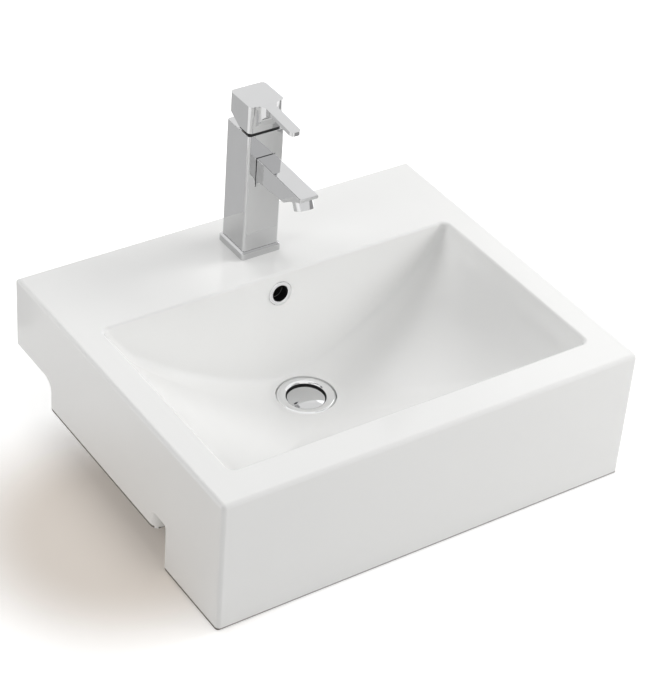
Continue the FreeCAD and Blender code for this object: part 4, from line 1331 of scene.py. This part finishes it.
@dataclass
class Waste:
    """The flanged waste with its threaded tail, its locknut, the push plug and the plug's spring."""

    ceramic: Ceramic
    flange: float = 32.5
    flange_thickness: float = 3.5
    flange_dish: float = 2.0
    dish_steps: int = 6
    flange_bevel: float = 1.8
    edge: float = 0.8
    throat: float = 21.9
    throat_margin: float = 0.8
    throat_floor: float = -8.7
    cup: float = 23.4
    cup_foot: float = -11.7
    tube: float = 20.9
    shank: float = 20.6
    root: float = 20.0
    tube_bore: float = 18.4
    thread_top: float = -57.0
    tube_foot: float = -84.0
    thread_turns: float = 11.0
    thread_wire: float = 0.9
    thread_sides: int = 6
    window_half: float = 6.0
    window_low: float = -22.0
    window_high: float = -12.0
    hub: float = 9.0
    hub_top: float = -32.0
    hub_foot: float = -42.0
    cell: float = 6.5
    spoke: float = 2.0
    plug: float = 21.2
    plug_crown: float = 3.0
    plug_thickness: float = 2.4
    plug_sink: float = 0.8
    plug_edge: float = 0.7
    plug_guide: float = 0.9
    dome_steps: int = 14
    nut: float = 29.0
    nut_top: float = -47.0
    nut_foot: float = -56.0
    nut_bore: float = 21.0
    coil_low: float = -62.0
    coil_high: float = -50.0
    coil_radius: float = 3.6
    coil_wire: float = 0.7
    coil_turns: float = 6.0
    coil_sides: int = 10

    def __post_init__(self) -> None:
        """Set the place of the drain's axis on the bowl's floor."""
        self.place = Vector((0.0, self.ceramic.bowl.drain_y, self.ceramic.floor))

    def build_body(self, helix: HelixShape) -> None:
        """Build the flange, throat and tail, with the thread round the tail.

        Args:
            helix: The tree that winds the thread.
        """
        brow = self.flange - self.flange_bevel * 2
        shares = [step / self.dish_steps for step in range(self.dish_steps + 1)]
        dish = [(brow + (self.throat - brow) * share, -self.flange_dish * share ** 2) for share in shares]
        profile = soften([
            (self.root, self.tube_foot),
            (self.root, self.thread_top),
            (self.shank, self.thread_top),
            (self.shank, self.cup_foot),
            (self.cup, self.cup_foot),
            (self.cup, -self.flange_thickness),
            (self.flange, -self.flange_thickness),
            (self.flange, -self.flange_bevel),
            (self.flange - self.flange_bevel, 0.0),
            *dish,
            (self.throat, self.throat_floor),
            (self.tube_bore, self.throat_floor),
            (self.tube_bore, self.tube_foot),
        ], self.edge)
        item = lathe("waste_body", profile, FINE_SIDES)
        reach = self.tube + OVERRUN
        half = self.window_half
        combine(
            item,
            Join.TAKE,
            block("window", (-reach, -half, self.window_low), (reach, half, self.window_high)),
            block("window", (-half, -reach, self.window_low), (half, reach, self.window_high)),
        )
        grip = (self.tube_bore + self.shank) / 2
        spider = rod("hub", self.hub, self.hub_foot, self.hub_top)
        combine(
            spider,
            Join.ADD,
            block("spoke", (-grip, -self.spoke, self.hub_foot), (grip, self.spoke, self.hub_top)),
            block("spoke", (-self.spoke, -grip, self.hub_foot), (self.spoke, grip, self.hub_top)),
        )
        combine(spider, Join.TAKE, rod("cell", self.cell, self.hub_foot - OVERRUN, self.hub_top + OVERRUN))
        combine(item, Join.ADD, spider)
        seat(item, self.place)
        dress(item, "basin", "bright_painted_chrome", "waste_body")

        def in_shaded_throat(centre: Vector) -> bool:
            """Tell whether a point lies in the throat, below the dish, which is painted black as shade."""
            near = centre - self.place
            return near.z < -self.flange_dish and near.xy.length < self.throat + self.throat_margin

        # The throat is painted black: painted shade round the sunk plug.
        paint(item, "black_plastic", in_shaded_throat)
        thread = helix.make("waste_thread", "bright_painted_chrome", {
            "Turns": self.thread_turns, "Radius": self.tube - self.thread_wire,
            "Height": self.thread_top - self.tube_foot - self.thread_wire * 2,
            "Wire Radius": self.thread_wire, "Wire Sides": self.thread_sides})
        seat(thread, self.place + Vector((0.0, 0.0, self.tube_foot + self.thread_wire)))
        dress(thread, "basin", "bright_painted_chrome")

    def build_plug(self) -> None:
        """Build the domed push plug."""
        edge = -self.plug_sink - self.plug_crown
        crown = (self.plug ** 2 + self.plug_crown ** 2) / (2 * self.plug_crown)
        dome = []
        for step in range(self.dome_steps + 1):
            radius = self.plug * (1 - step / self.dome_steps)
            drop = crown - math.sqrt(crown ** 2 - radius ** 2)
            dome.append((radius, -self.plug_sink - drop))
        foot = edge - self.plug_thickness
        guide = (self.plug * self.plug_guide, dome[1][1])
        rim = soften([(0.0, foot), (self.plug, foot), dome[0], guide], self.plug_edge)
        # The guide only gives the direction of the dome, so its own eased corner is left out.
        item = lathe("plug_cap", [*rim[:-SOFT_STEPS - 1], *dome[2:]], FINE_SIDES)
        seat(item, self.place)
        dress(item, "plug", "chrome", "plug_cap")

    def build_nut(self) -> None:
        """Build the hexagon locknut with its chamfered corners."""
        item = hexagon_nut("waste_locknut", self.nut, self.nut_bore, self.nut_foot, self.nut_top)
        seat(item, self.place)
        dress(item, "basin", "brass", "waste_locknut")

    def build_coil(self, helix: HelixShape) -> None:
        """Build the click cell's coil spring.

        Args:
            helix: The tree that winds the coil.
        """
        coil = helix.make("plug_spring", "steel", {
            "Turns": self.coil_turns, "Radius": self.coil_radius,
            "Height": self.coil_high - self.coil_low - self.coil_wire * 2,
            "Wire Radius": self.coil_wire, "Wire Sides": self.coil_sides})
        seat(coil, self.place + Vector((0.0, 0.0, self.coil_low + self.coil_wire)))
        dress(coil, "basin", "steel", "plug_spring")

    def build(self, helix: HelixShape) -> None:
        """Build the waste and its plug.

        Args:
            helix: The tree that winds threads and coils.
        """
        self.build_body(helix)
        self.build_plug()
        self.build_nut()
        self.build_coil(helix)


def hexagon_nut(name: str, radius: float, bore: float, low: float, high: float) -> bpy.types.Object:
    """Return a hexagon nut whose corners are turned off at both ends.

    Args:
        name: Name of the object.
        radius: Radius over the corners.
        bore: Radius of the bore.
        low: Height of its foot.
        high: Height of its top.

    Returns:
        The nut as a mesh object.
    """
    turned_share, edge_share, edge_limit = 0.6, 0.03, 0.3
    angles = [math.pi * side / 3 for side in range(6)]
    corners = [(radius * math.cos(angle), radius * math.sin(angle)) for angle in angles]
    item = prism(name, corners, Along.UPWARD, low, high)
    flat = radius * math.cos(math.pi / 6)
    drop = (radius - flat) * turned_share
    turned = lathe("turned", [
        (0.0, low), (flat, low), (radius, low + drop), (radius, high - drop), (flat, high), (0.0, high)])
    combine(item, Join.SHARE, turned)
    combine(item, Join.TAKE, rod("bore", bore, low - OVERRUN, high + OVERRUN))
    return ease(item, min(edge_limit, bore * edge_share), steps=2, angle=50.0)


# Tap


@dataclass
class Tap:
    """The mixer: base plate, column with spout, aerator, fixing stud, and the handle with its lever."""

    ceramic: Ceramic
    column: float = 44.0
    column_top: float = 152.0
    column_edge: float = 0.5
    corner: float = 3.0
    plate: float = 49.0
    plate_height: float = 9.0
    plate_bevel: float = 2.4
    plate_slope: float = 1.5
    plate_taper: float = 0.4
    plate_edge: float = 0.35
    plate_bore: float = 16.5
    seal_outer: float = 22.0
    seal_inner: float = 18.5
    seal_depth: float = 2.0
    spout_width: float = 22.0
    spout_reach: float = 107.0
    spout_top: float = 124.0
    spout_fall: float = 3.0
    spout_root: float = 97.0
    spout_under: float = 100.0
    spout_nose: float = 4.0
    spout_step: float = 79.0
    spout_relief: float = 7.0
    spout_round: float = 8.0
    spout_edge: float = 1.0
    seam_width: float = 0.8
    seam_depth: float = 0.6
    seam_face: float = 0.02
    chamber: float = 17.8
    chamber_floor: float = 114.0
    aerator_front: float = 95.0
    aerator_sink: float = 0.5
    aerator: float = 11.0
    aerator_height: float = 10.0
    aerator_wall: float = 1.7
    aerator_lip: float = 1.0
    aerator_roof: float = 1.6
    aerator_edge: float = 0.35
    sieve_hole: float = 0.42
    sieve_pitch: float = 1.15
    spigot: float = 8.0
    spigot_bore: float = 6.5
    spigot_height: float = 3.5
    aerator_gap: float = 0.3
    port: float = 4.5
    port_depth: float = 14.0
    port_side: float = 6.5
    port_back: float = 3.0
    stud: float = 4.0
    stud_front: float = 9.5
    stud_low: float = -44.5
    stud_high: float = 23.0
    stud_wire: float = 0.4
    stud_turns: float = 54.0
    stud_wire_sides: int = 4
    stud_sides: int = 40
    stud_edge: float = 0.4
    nut: float = 7.5
    nut_low: float = -30.5
    nut_high: float = -20.5
    nut_gap: float = 0.1
    cap_width: float = 42.0
    cap_length: float = 41.0
    cap_bottom: float = 154.5
    cap_top: float = 186.0
    cap_relief: float = 11.5
    cap_corner: float = 5.0
    cap_edge: float = 0.7
    cap_wall: float = 4.0
    cap_hollow: float = 8.5
    socket: float = 4.05
    socket_depth: float = 17.0
    lever_width: float = 12.5
    lever_reach: float = 76.0
    lever_fall: float = 4.2
    lever_thickness: float = 4.5
    lever_flare: float = 9.0
    lever_arch: float = 20.0
    lever_tip: float = 4.0
    cover: float = 3.3
    cover_height: float = 22.5

    def __post_init__(self) -> None:
        """Set the place of the tap's axis on the deck."""
        self.place = Vector((0.0, self.ceramic.tap_y, self.ceramic.top))

    def build_plate(self) -> None:
        """Build the bevelled base plate."""
        half = self.plate / 2
        inset = half - self.plate_bevel
        straight = rounded(-half, half, -half, half, self.corner)
        narrow = rounded(-inset, inset, -inset, inset, self.corner * self.plate_taper)
        shoulder = self.plate_height - self.plate_slope
        rings = [
            [Vector((x, y, 0.0)) for x, y in straight],
            [Vector((x, y, shoulder)) for x, y in straight],
            [Vector((x, y, self.plate_height)) for x, y in narrow],
        ]
        item = loft("tap_base_plate", rings)
        ease(item, self.plate_edge, angle=30.0)
        groove = lathe("groove", [
            (self.seal_inner, -OVERRUN), (self.seal_outer, -OVERRUN),
            (self.seal_outer, self.seal_depth), (self.seal_inner, self.seal_depth)])
        bore = rod("bore", self.plate_bore, -OVERRUN, self.plate_height + OVERRUN)
        combine(item, Join.TAKE, bore, groove)
        seat(item, self.place)
        dress(item, "basin", "chrome", "tap_base_plate")

    def spout(self) -> bpy.types.Object:
        """Return the spout's solid, with its root inside the column.

        Returns:
            The spout before it is joined to the column.
        """
        root = -self.column / 2
        inside = root + self.corner
        tip_top = self.spout_top - self.spout_fall
        rise = self.spout_under - self.spout_root
        side = outline([
            (inside, self.spout_root - self.spout_round),
            (root, self.spout_root - self.spout_round),
            (root - self.spout_round, self.spout_root, self.spout_round, Turn.LEFT),
            (-self.spout_step + rise, self.spout_under),
            (-self.spout_step - self.spout_relief, self.spout_under + self.spout_relief),
            (-self.spout_reach, tip_top - self.spout_nose),
            (-self.spout_reach, tip_top),
            (inside, self.spout_top),
        ])
        half = self.spout_width / 2
        item = prism("spout", side, Along.ACROSS, -half, half)
        return ease(item, self.spout_edge, steps=4, angle=30.0)

    def seam(self) -> bpy.types.Object:
        """Return the cutter of the narrow seam over and beside the spout's root.

        Returns:
            The cutting solid, a frame open below.
        """
        root = -self.column / 2
        half, deep, wide = self.spout_width / 2, self.seam_depth, self.seam_width
        low = self.spout_root - self.spout_round
        item = block("seam", (-half - deep, root - wide, low),
                     (half + deep, root + deep, self.spout_top + deep))
        core = block("core", (-half + deep, root - wide - OVERRUN, low - OVERRUN),
                     (half - deep, root + OVERRUN, self.spout_top - deep))
        return combine(item, Join.TAKE, core)

    def in_seam(self, place: Vector) -> bool:
        """Tell whether a point lies on the walls of the spout's seam, which are painted black as shade."""
        near = place - self.place
        half, deep = self.spout_width / 2, self.seam_depth
        depth = near.y + self.column / 2
        around = abs(near.x) < half + deep + TOUCH and near.z < self.spout_top + deep + TOUCH
        outside = abs(near.x) > half - deep - TOUCH or near.z > self.spout_top - deep - TOUCH
        low = self.spout_root - self.spout_round
        sunk = -self.seam_width - TOUCH < depth < deep + TOUCH and abs(depth) > self.seam_face
        return around and outside and sunk and near.z > low

    def nose_frame(self) -> tuple[Vector, Matrix]:
        """Return the aerator's seat on the spout's nose and the turn that sets a piece square on it.

        Returns:
            The point, in millimetres from the deck, and the rotation.
        """
        rear = self.spout_step + self.spout_relief
        foot = self.spout_under + self.spout_relief
        rise = self.spout_top - self.spout_fall - self.spout_nose - foot
        run = self.spout_reach - rear
        level = foot + rise * (self.aerator_front - rear) / run + self.aerator_sink
        return Vector((0.0, -self.aerator_front, level)), Matrix.Rotation(-math.atan2(rise, run), 4, "X")

    def nose_hole(self, name: str, radius: float, low: float, high: float) -> bpy.types.Object:
        """Return a round cutter set square on the spout's nose.

        Args:
            name: Name of the cutter.
            radius: Its radius.
            low: Where it starts, from the aerator's seat.
            high: Where it ends, from the aerator's seat.

        Returns:
            The cutting solid.
        """
        place, turn = self.nose_frame()
        item = rod(name, radius, low, high)
        item.data.transform(Matrix.Translation(place) @ turn)
        return item

    def build_body(self) -> None:
        """Build the column with its spout, bored for the cartridge, the aerator and the inlets."""
        half = self.column / 2
        plan = rounded(-half, half, -half, half, self.corner)
        item = prism("tap_body", plan, Along.UPWARD, self.plate_height, self.column_top)
        ease(item, self.column_edge, angle=60.0)
        combine(item, Join.ADD, self.spout())
        combine(item, Join.TAKE, self.seam())
        foot, roof = self.plate_height - OVERRUN, self.plate_height + self.port_depth
        ports = [
            rod("port", self.port, foot, roof, x, self.port_back)
            for x in (-self.port_side, self.port_side)
        ]
        combine(
            item,
            Join.TAKE,
            rod("chamber", self.chamber, self.chamber_floor, self.column_top + OVERRUN),
            self.nose_hole("aerator_face", self.aerator + self.aerator_gap,
                           -self.aerator_height - OVERRUN, 0.0),
            self.nose_hole("aerator_bore", self.spigot + self.aerator_gap / 2, -OVERRUN,
                           self.spigot_height + self.aerator_lip),
            *ports,
        )
        seat(item, self.place)
        dress(item, "basin", "chrome", "tap_body")
        # The seam's walls are painted black: painted shade in the groove.
        paint(item, "black_plastic", self.in_seam)

    def build_aerator(self, sieve: SieveShape) -> None:
        """Build the aerator's housing and the sieve in it.

        Args:
            sieve: The tree that drills the sieve.
        """
        bore = self.aerator - self.aerator_wall
        mouth = -self.aerator_height
        lip = mouth + self.aerator_lip
        roof = -self.aerator_roof
        middle, turn = self.nose_frame()
        place = self.place + middle
        profile = soften([
            (self.aerator, mouth),
            (self.aerator, 0.0),
            (self.spigot, 0.0),
            (self.spigot, self.spigot_height),
            (self.spigot_bore, self.spigot_height),
            (self.spigot_bore, roof),
            (bore, roof),
            (bore, lip),
            (bore - self.aerator_lip, lip),
            (bore - self.aerator_lip, mouth),
        ], self.aerator_edge)
        item = lathe("aerator_housing", profile)
        seat(item, place, turn)
        dress(item, "basin", "chrome", "aerator_housing")
        insert = sieve.make("aerator_insert", "black_plastic", {
            "Disc Radius": bore - self.aerator_gap / 2, "Thickness": roof - lip,
            "Hole Radius": self.sieve_hole, "Pitch": self.sieve_pitch})
        seat(insert, place + turn @ Vector((0.0, 0.0, (roof + lip) / 2)), turn)
        dress(insert, "basin", "black_plastic", "aerator_insert")

    def build_fixing(self, helix: HelixShape) -> None:
        """Build the threaded stud and its nut under the deck.

        Args:
            helix: The tree that winds the thread.
        """
        core = self.stud - self.stud_wire
        place = self.place + Vector((0.0, -self.stud_front, 0.0))
        low, high = self.stud_low, self.stud_high
        profile = soften([(0.0, low), (core, low), (core, high), (0.0, high)], self.stud_edge)
        item = lathe("mounting_stud", profile, self.stud_sides)
        seat(item, place)
        dress(item, "basin", "steel", "mounting_stud")
        thread = helix.make("mounting_stud_thread", "steel", {
            "Turns": self.stud_turns, "Radius": core, "Height": high - low - self.stud_wire * 4,
            "Wire Radius": self.stud_wire, "Wire Sides": self.stud_wire_sides})
        seat(thread, place + Vector((0.0, 0.0, low + self.stud_wire * 2)))
        dress(thread, "basin", "steel")
        nut = hexagon_nut("stud_nut", self.nut, self.stud + self.nut_gap, self.nut_low, self.nut_high)
        seat(nut, place)
        dress(nut, "basin", "brass", "stud_nut")

    def lever(self) -> bpy.types.Object:
        """Return the lever's solid: its plan, flared at the cap, cut by its arched side.

        Returns:
            The lever before it is joined to the cap.
        """
        width = self.lever_width / 2
        root = -self.cap_length / 2
        inside = root + self.cap_wall
        tip = -self.lever_reach
        flare, soft = self.lever_flare, self.lever_tip
        plan = outline([
            (width - soft, tip),
            (width, tip + soft, soft, Turn.LEFT),
            (width, root - flare),
            (width + flare, root, flare, Turn.RIGHT),
            (width + flare, inside),
            (-width - flare, inside),
            (-width - flare, root),
            (-width, root - flare, flare, Turn.RIGHT),
            (-width, tip + soft),
            (-width + soft, tip, soft, Turn.LEFT),
        ])
        slope = self.lever_fall / (root - tip)
        end = tip - OVERRUN
        end_top = self.cap_top - slope * (root - end)
        arch = self.lever_arch
        arch_top = self.cap_top - self.lever_thickness - slope * arch
        side = outline([
            (inside, arch_top - arch),
            (inside, self.cap_top),
            (root, self.cap_top),
            (end, end_top),
            (end, end_top - self.lever_thickness),
            (root - arch, arch_top),
            (root, arch_top - arch, arch, Turn.RIGHT),
        ])
        item = prism("lever", plan, Along.UPWARD, self.cap_bottom, self.cap_top)
        half = self.cap_width / 2
        return combine(item, Join.SHARE, prism("side", side, Along.ACROSS, -half - OVERRUN, half + OVERRUN))

    def build_handle(self) -> None:
        """Build the cap with its lever, hollow below and relieved at the rear."""
        half = self.cap_width / 2
        length = self.cap_length / 2
        plan = rounded(-half, half, -length, length, self.cap_corner)
        item = prism("handle", plan, Along.UPWARD, self.cap_bottom, self.cap_top)
        rear = length + OVERRUN
        relief = prism("relief", [
            (0.0, self.cap_bottom),
            (0.0, self.cap_bottom - OVERRUN),
            (rear, self.cap_bottom - OVERRUN),
            (rear, self.cap_bottom + self.cap_relief * rear / length),
        ], Along.ACROSS, -half - OVERRUN, half + OVERRUN)
        combine(item, Join.ADD, self.lever())
        combine(item, Join.TAKE, relief)
        ease(item, self.cap_edge, angle=35.0)
        inner, inner_length = half - self.cap_wall, length - self.cap_wall
        ceiling = self.cap_bottom + self.cap_hollow
        combine(
            item,
            Join.TAKE,
            block("hollow", (-inner, -inner_length, self.cap_bottom - OVERRUN),
                  (inner, inner_length, ceiling)),
            block("socket", (-self.socket, -self.socket, ceiling - OVERRUN),
                  (self.socket, self.socket, ceiling + self.socket_depth)),
        )
        screw = rod("screw_hole", self.cover, self.socket, rear)
        level = Matrix.Rotation(-math.pi / 2, 4, "X")
        screw.data.transform(Matrix.Translation((0.0, 0.0, self.cap_bottom + self.cover_height)) @ level)
        combine(item, Join.TAKE, screw)
        seat(item, self.place)
        dress(item, "handle", "chrome", "handle")

    def build(self, helix: HelixShape, sieve: SieveShape) -> None:
        """Build the mixer.

        Args:
            helix: The tree that winds threads.
            sieve: The tree that drills the aerator's sieve.
        """
        self.build_plate()
        self.build_body()
        self.build_aerator(sieve)
        self.build_fixing(helix)
        self.build_handle()


def dress_solids(bodies: dict[str, Sequence[str]], slots: dict[str, str]) -> None:
    """Give the carried-over solids their finishes.

    Args:
        bodies: Nodes of each body.
        slots: Material slot of each node.
    """
    for body, names in bodies.items():
        for name in names:
            item = frame["nodes"][name]
            if item.hide_render:
                continue
            item.data.materials.clear()
            item.data.materials.append(FINISHES[slots[name]].material())
            log.info("%s: kept solid on %s, finish %s", name, body, slots[name])


# Studio


def square(name: str, half: float, level: float) -> bpy.types.Object:
    """Return a level square about the Z axis.

    Args:
        name: Name of the object.
        half: Half the length of its sides, in metres.
        level: Its height, in metres.

    Returns:
        The square as a mesh object that faces up.
    """
    mesh = bpy.data.meshes.new(name)
    corners = [(-half, -half, level), (half, -half, level), (half, half, level), (-half, half, level)]
    mesh.from_pydata(corners, [], [(0, 1, 2, 3)])
    return link(name, mesh)


def place_facing(item: bpy.types.Object, place: Place, aim: Vector, front: str) -> None:
    """Set an object down so that it faces a point.

    Args:
        item: The object.
        place: Where it goes, in metres.
        aim: The point that it faces, in metres.
        front: Axis of the object that points at the aim.
    """
    item.location = place
    item.rotation_mode = "QUATERNION"
    item.rotation_quaternion = (aim - Vector(place)).to_track_quat(front, "Y")


@dataclass(frozen=True)
class Lamp:
    """A round soft lamp."""

    name: str
    place: Place
    size: float
    power: float
    mirrored: bool = True
    lit: bool = True

    def build(self, aim: Vector) -> None:
        """Set the lamp so that it faces a point.

        Args:
            aim: The point, in metres.
        """
        data = bpy.data.lights.new(self.name, "AREA")
        data.shape = "DISK"
        data.size = self.size
        data.energy = self.power
        item = link(self.name, data)
        place_facing(item, self.place, aim, "-Z")
        item.visible_glossy = self.mirrored
        item.visible_diffuse = self.lit


@dataclass(frozen=True)
class Card:
    """A grey card that shows only in reflections."""

    name: str
    place: Place
    size: float
    shade: float

    def build(self, aim: Vector) -> None:
        """Hang the card so that it faces a point.

        Args:
            aim: The point, in metres.
        """
        item = square(self.name, self.size / 2, 0.0)
        grey = bpy.data.materials.new(self.name)
        desk = fresh_desk(grey)
        plain = desk.add("ShaderNodeEmission", {"Strength": self.shade})
        desk.add("ShaderNodeOutputMaterial", {"Surface": plain.outputs[0]})
        item.data.materials.append(grey)
        place_facing(item, self.place, aim, "Z")
        item.visible_camera = False
        item.visible_diffuse = False
        item.visible_transmission = False
        item.visible_shadow = False


@dataclass
class Studio:
    """Camera, floor and soft light."""

    camera_place: Place = (-1.1103, -1.7428, 1.4524)
    camera_right: Place = (0.83603, -0.54498, 0.06367)
    camera_up: Place = (0.28376, 0.52876, 0.79994)
    camera_back: Place = (-0.46961, -0.65070, 0.59670)
    lens: float = 115.73
    sensor: float = 36.0
    floor_reach: float = 12.0
    floor_gap: float = 0.0002
    floor_colour: Colour = (0.76, 0.757, 0.75)
    # Round the shade place the floor carries a painted shadow: its colour warms and its glow drops.
    shade_colour: Colour = (0.84, 0.767, 0.694)
    shade_place: Place = (-0.26, -0.24, -0.072)
    shade_fade: Point = (0.08, 0.22)
    shade_glow: Point = (0.05, 0.52)
    far_fade: Point = (0.5, 1.4)
    far_glow: float = 0.32
    fill: float = 0.31
    aim: Place = (0.0, -0.2, 0.1)
    lamps: tuple[Lamp, ...] = (
        Lamp("right_far", (2.6, -0.8, 1.6), 1.2, 17.0, mirrored=False),
        Lamp("right", (1.5, -0.3, 1.5), 0.9, 9.0, mirrored=False),
        Lamp("front_far", (2.2, -2.3, 1.3), 2.4, 16.0, mirrored=False),
        Lamp("front", (1.5, -1.5, 0.9), 0.9, 5.5, mirrored=False),
        Lamp("left_rear", (-1.4, 1.2, 1.4), 0.9, 9.0, mirrored=False),
        Lamp("left", (-1.8, -0.4, 1.2), 0.9, 6.0, mirrored=False),
        Lamp("rear", (0.0, 1.6, 2.0), 1.2, 15.0, mirrored=False),
        Lamp("front_low", (0.3, -2.6, 0.8), 1.5, 5.5, mirrored=False),
        Lamp("sheen", (1.65, 2.2, 2.2), 2.4, 1.0, lit=False),
        Lamp("glint", (2.0, 1.0, 1.55), 1.2, 2.7, lit=False),
    )
    cards: tuple[Card, ...] = (
        Card("rear_card", (-1.2, 1.2, 1.15), 0.9, 0.03),
        Card("top_card", (1.0, -0.5, 1.9), 0.7, 0.6),
        Card("left_card", (-0.2, 0.195, 0.0), 0.3, 0.68),
        Card("front_card", (0.094, -0.235, 0.165), 0.12, 0.42),
    )

    def build_camera(self) -> None:
        """Set the camera at the photograph's place."""
        data = bpy.data.cameras.new("camera")
        data.lens = self.lens
        data.sensor_width = self.sensor
        data.sensor_fit = "AUTO"
        item = link("camera", data)
        turn = Matrix((self.camera_right, self.camera_up, self.camera_back)).transposed().to_4x4()
        item.matrix_world = Matrix.Translation(self.camera_place) @ turn
        bpy.context.scene.camera = item

    def build_floor(self, level: float) -> None:
        """Lay the pale floor that keeps the shadow, darkened further by a painted shadow round the shade
        place, and is clear from below.

        Args:
            level: Height of the floor, in metres.
        """
        item = square("floor", self.floor_reach, level)
        pale = bpy.data.materials.new("floor")
        desk = fresh_desk(pale)
        place = desk.add("ShaderNodeTexCoord").outputs["Object"]
        gap = desk.add("ShaderNodeVectorMath", {0: place, 1: self.shade_place}, operation="DISTANCE")
        away = gap.outputs["Value"]
        # Painted shadow: near the shade place the colour warms and the glow falls away.
        near = desk.fade(away, self.shade_fade)
        far = desk.fade(away, self.far_fade, self.far_glow)
        colour = desk.mix(near, self.shade_colour, self.floor_colour)
        matt = desk.add("ShaderNodeBsdfDiffuse", {"Color": colour})
        bright = desk.math("ADD", desk.span(near, *self.shade_glow), far)
        shine = desk.math("MULTIPLY", desk.backdrop_ray(), bright)
        glow = desk.add("ShaderNodeEmission", {"Strength": shine})
        lit = desk.add("ShaderNodeAddShader", {0: matt.outputs[0], 1: glow.outputs[0]})
        clear = desk.add("ShaderNodeBsdfTransparent")
        below = desk.add("ShaderNodeNewGeometry").outputs["Backfacing"]
        skin = desk.add("ShaderNodeMixShader", {0: below, 1: lit.outputs[0], 2: clear.outputs[0]})
        desk.add("ShaderNodeOutputMaterial", {"Surface": skin.outputs[0]})
        item.data.materials.append(pale)

    def build_light(self) -> None:
        """Set the soft light: an even surround, white to the camera, with lamps and cards."""
        world = bpy.data.worlds.new("surround")
        bpy.context.scene.world = world
        desk = fresh_desk(world)
        strength = desk.span(desk.backdrop_ray(), self.fill, 1.0)
        ground = desk.add("ShaderNodeBackground", {"Color": (1.0, 1.0, 1.0, 1.0), "Strength": strength})
        desk.add("ShaderNodeOutputWorld", {"Surface": ground.outputs[0]})
        for thing in (*self.lamps, *self.cards):
            thing.build(Vector(self.aim))

    def build(self) -> None:
        """Build the camera, the floor and the light."""
        self.build_camera()
        self.build_floor(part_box("basin_body")[0].z - self.floor_gap)
        self.build_light()
        bpy.context.scene.view_settings.view_transform = "Standard"


def main() -> None:
    """Build the object piece by piece, then the studio."""
    logging.basicConfig(level=logging.INFO, format="%(name)s %(message)s")
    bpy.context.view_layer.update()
    record = frame["record"]
    ceramic = Ceramic()
    helix = HelixShape()
    sieve = SieveShape()
    ceramic.build()
    OverflowRing(ceramic).build()
    Waste(ceramic).build(helix)
    Tap(ceramic).build(helix, sieve)
    slots = {part["node"]: part["material_slot"] for part in record["subparts"]}
    dress_solids(record["behaviour"]["bodies"], slots)
    Studio().build()


if __name__ == "__main__":
    main()
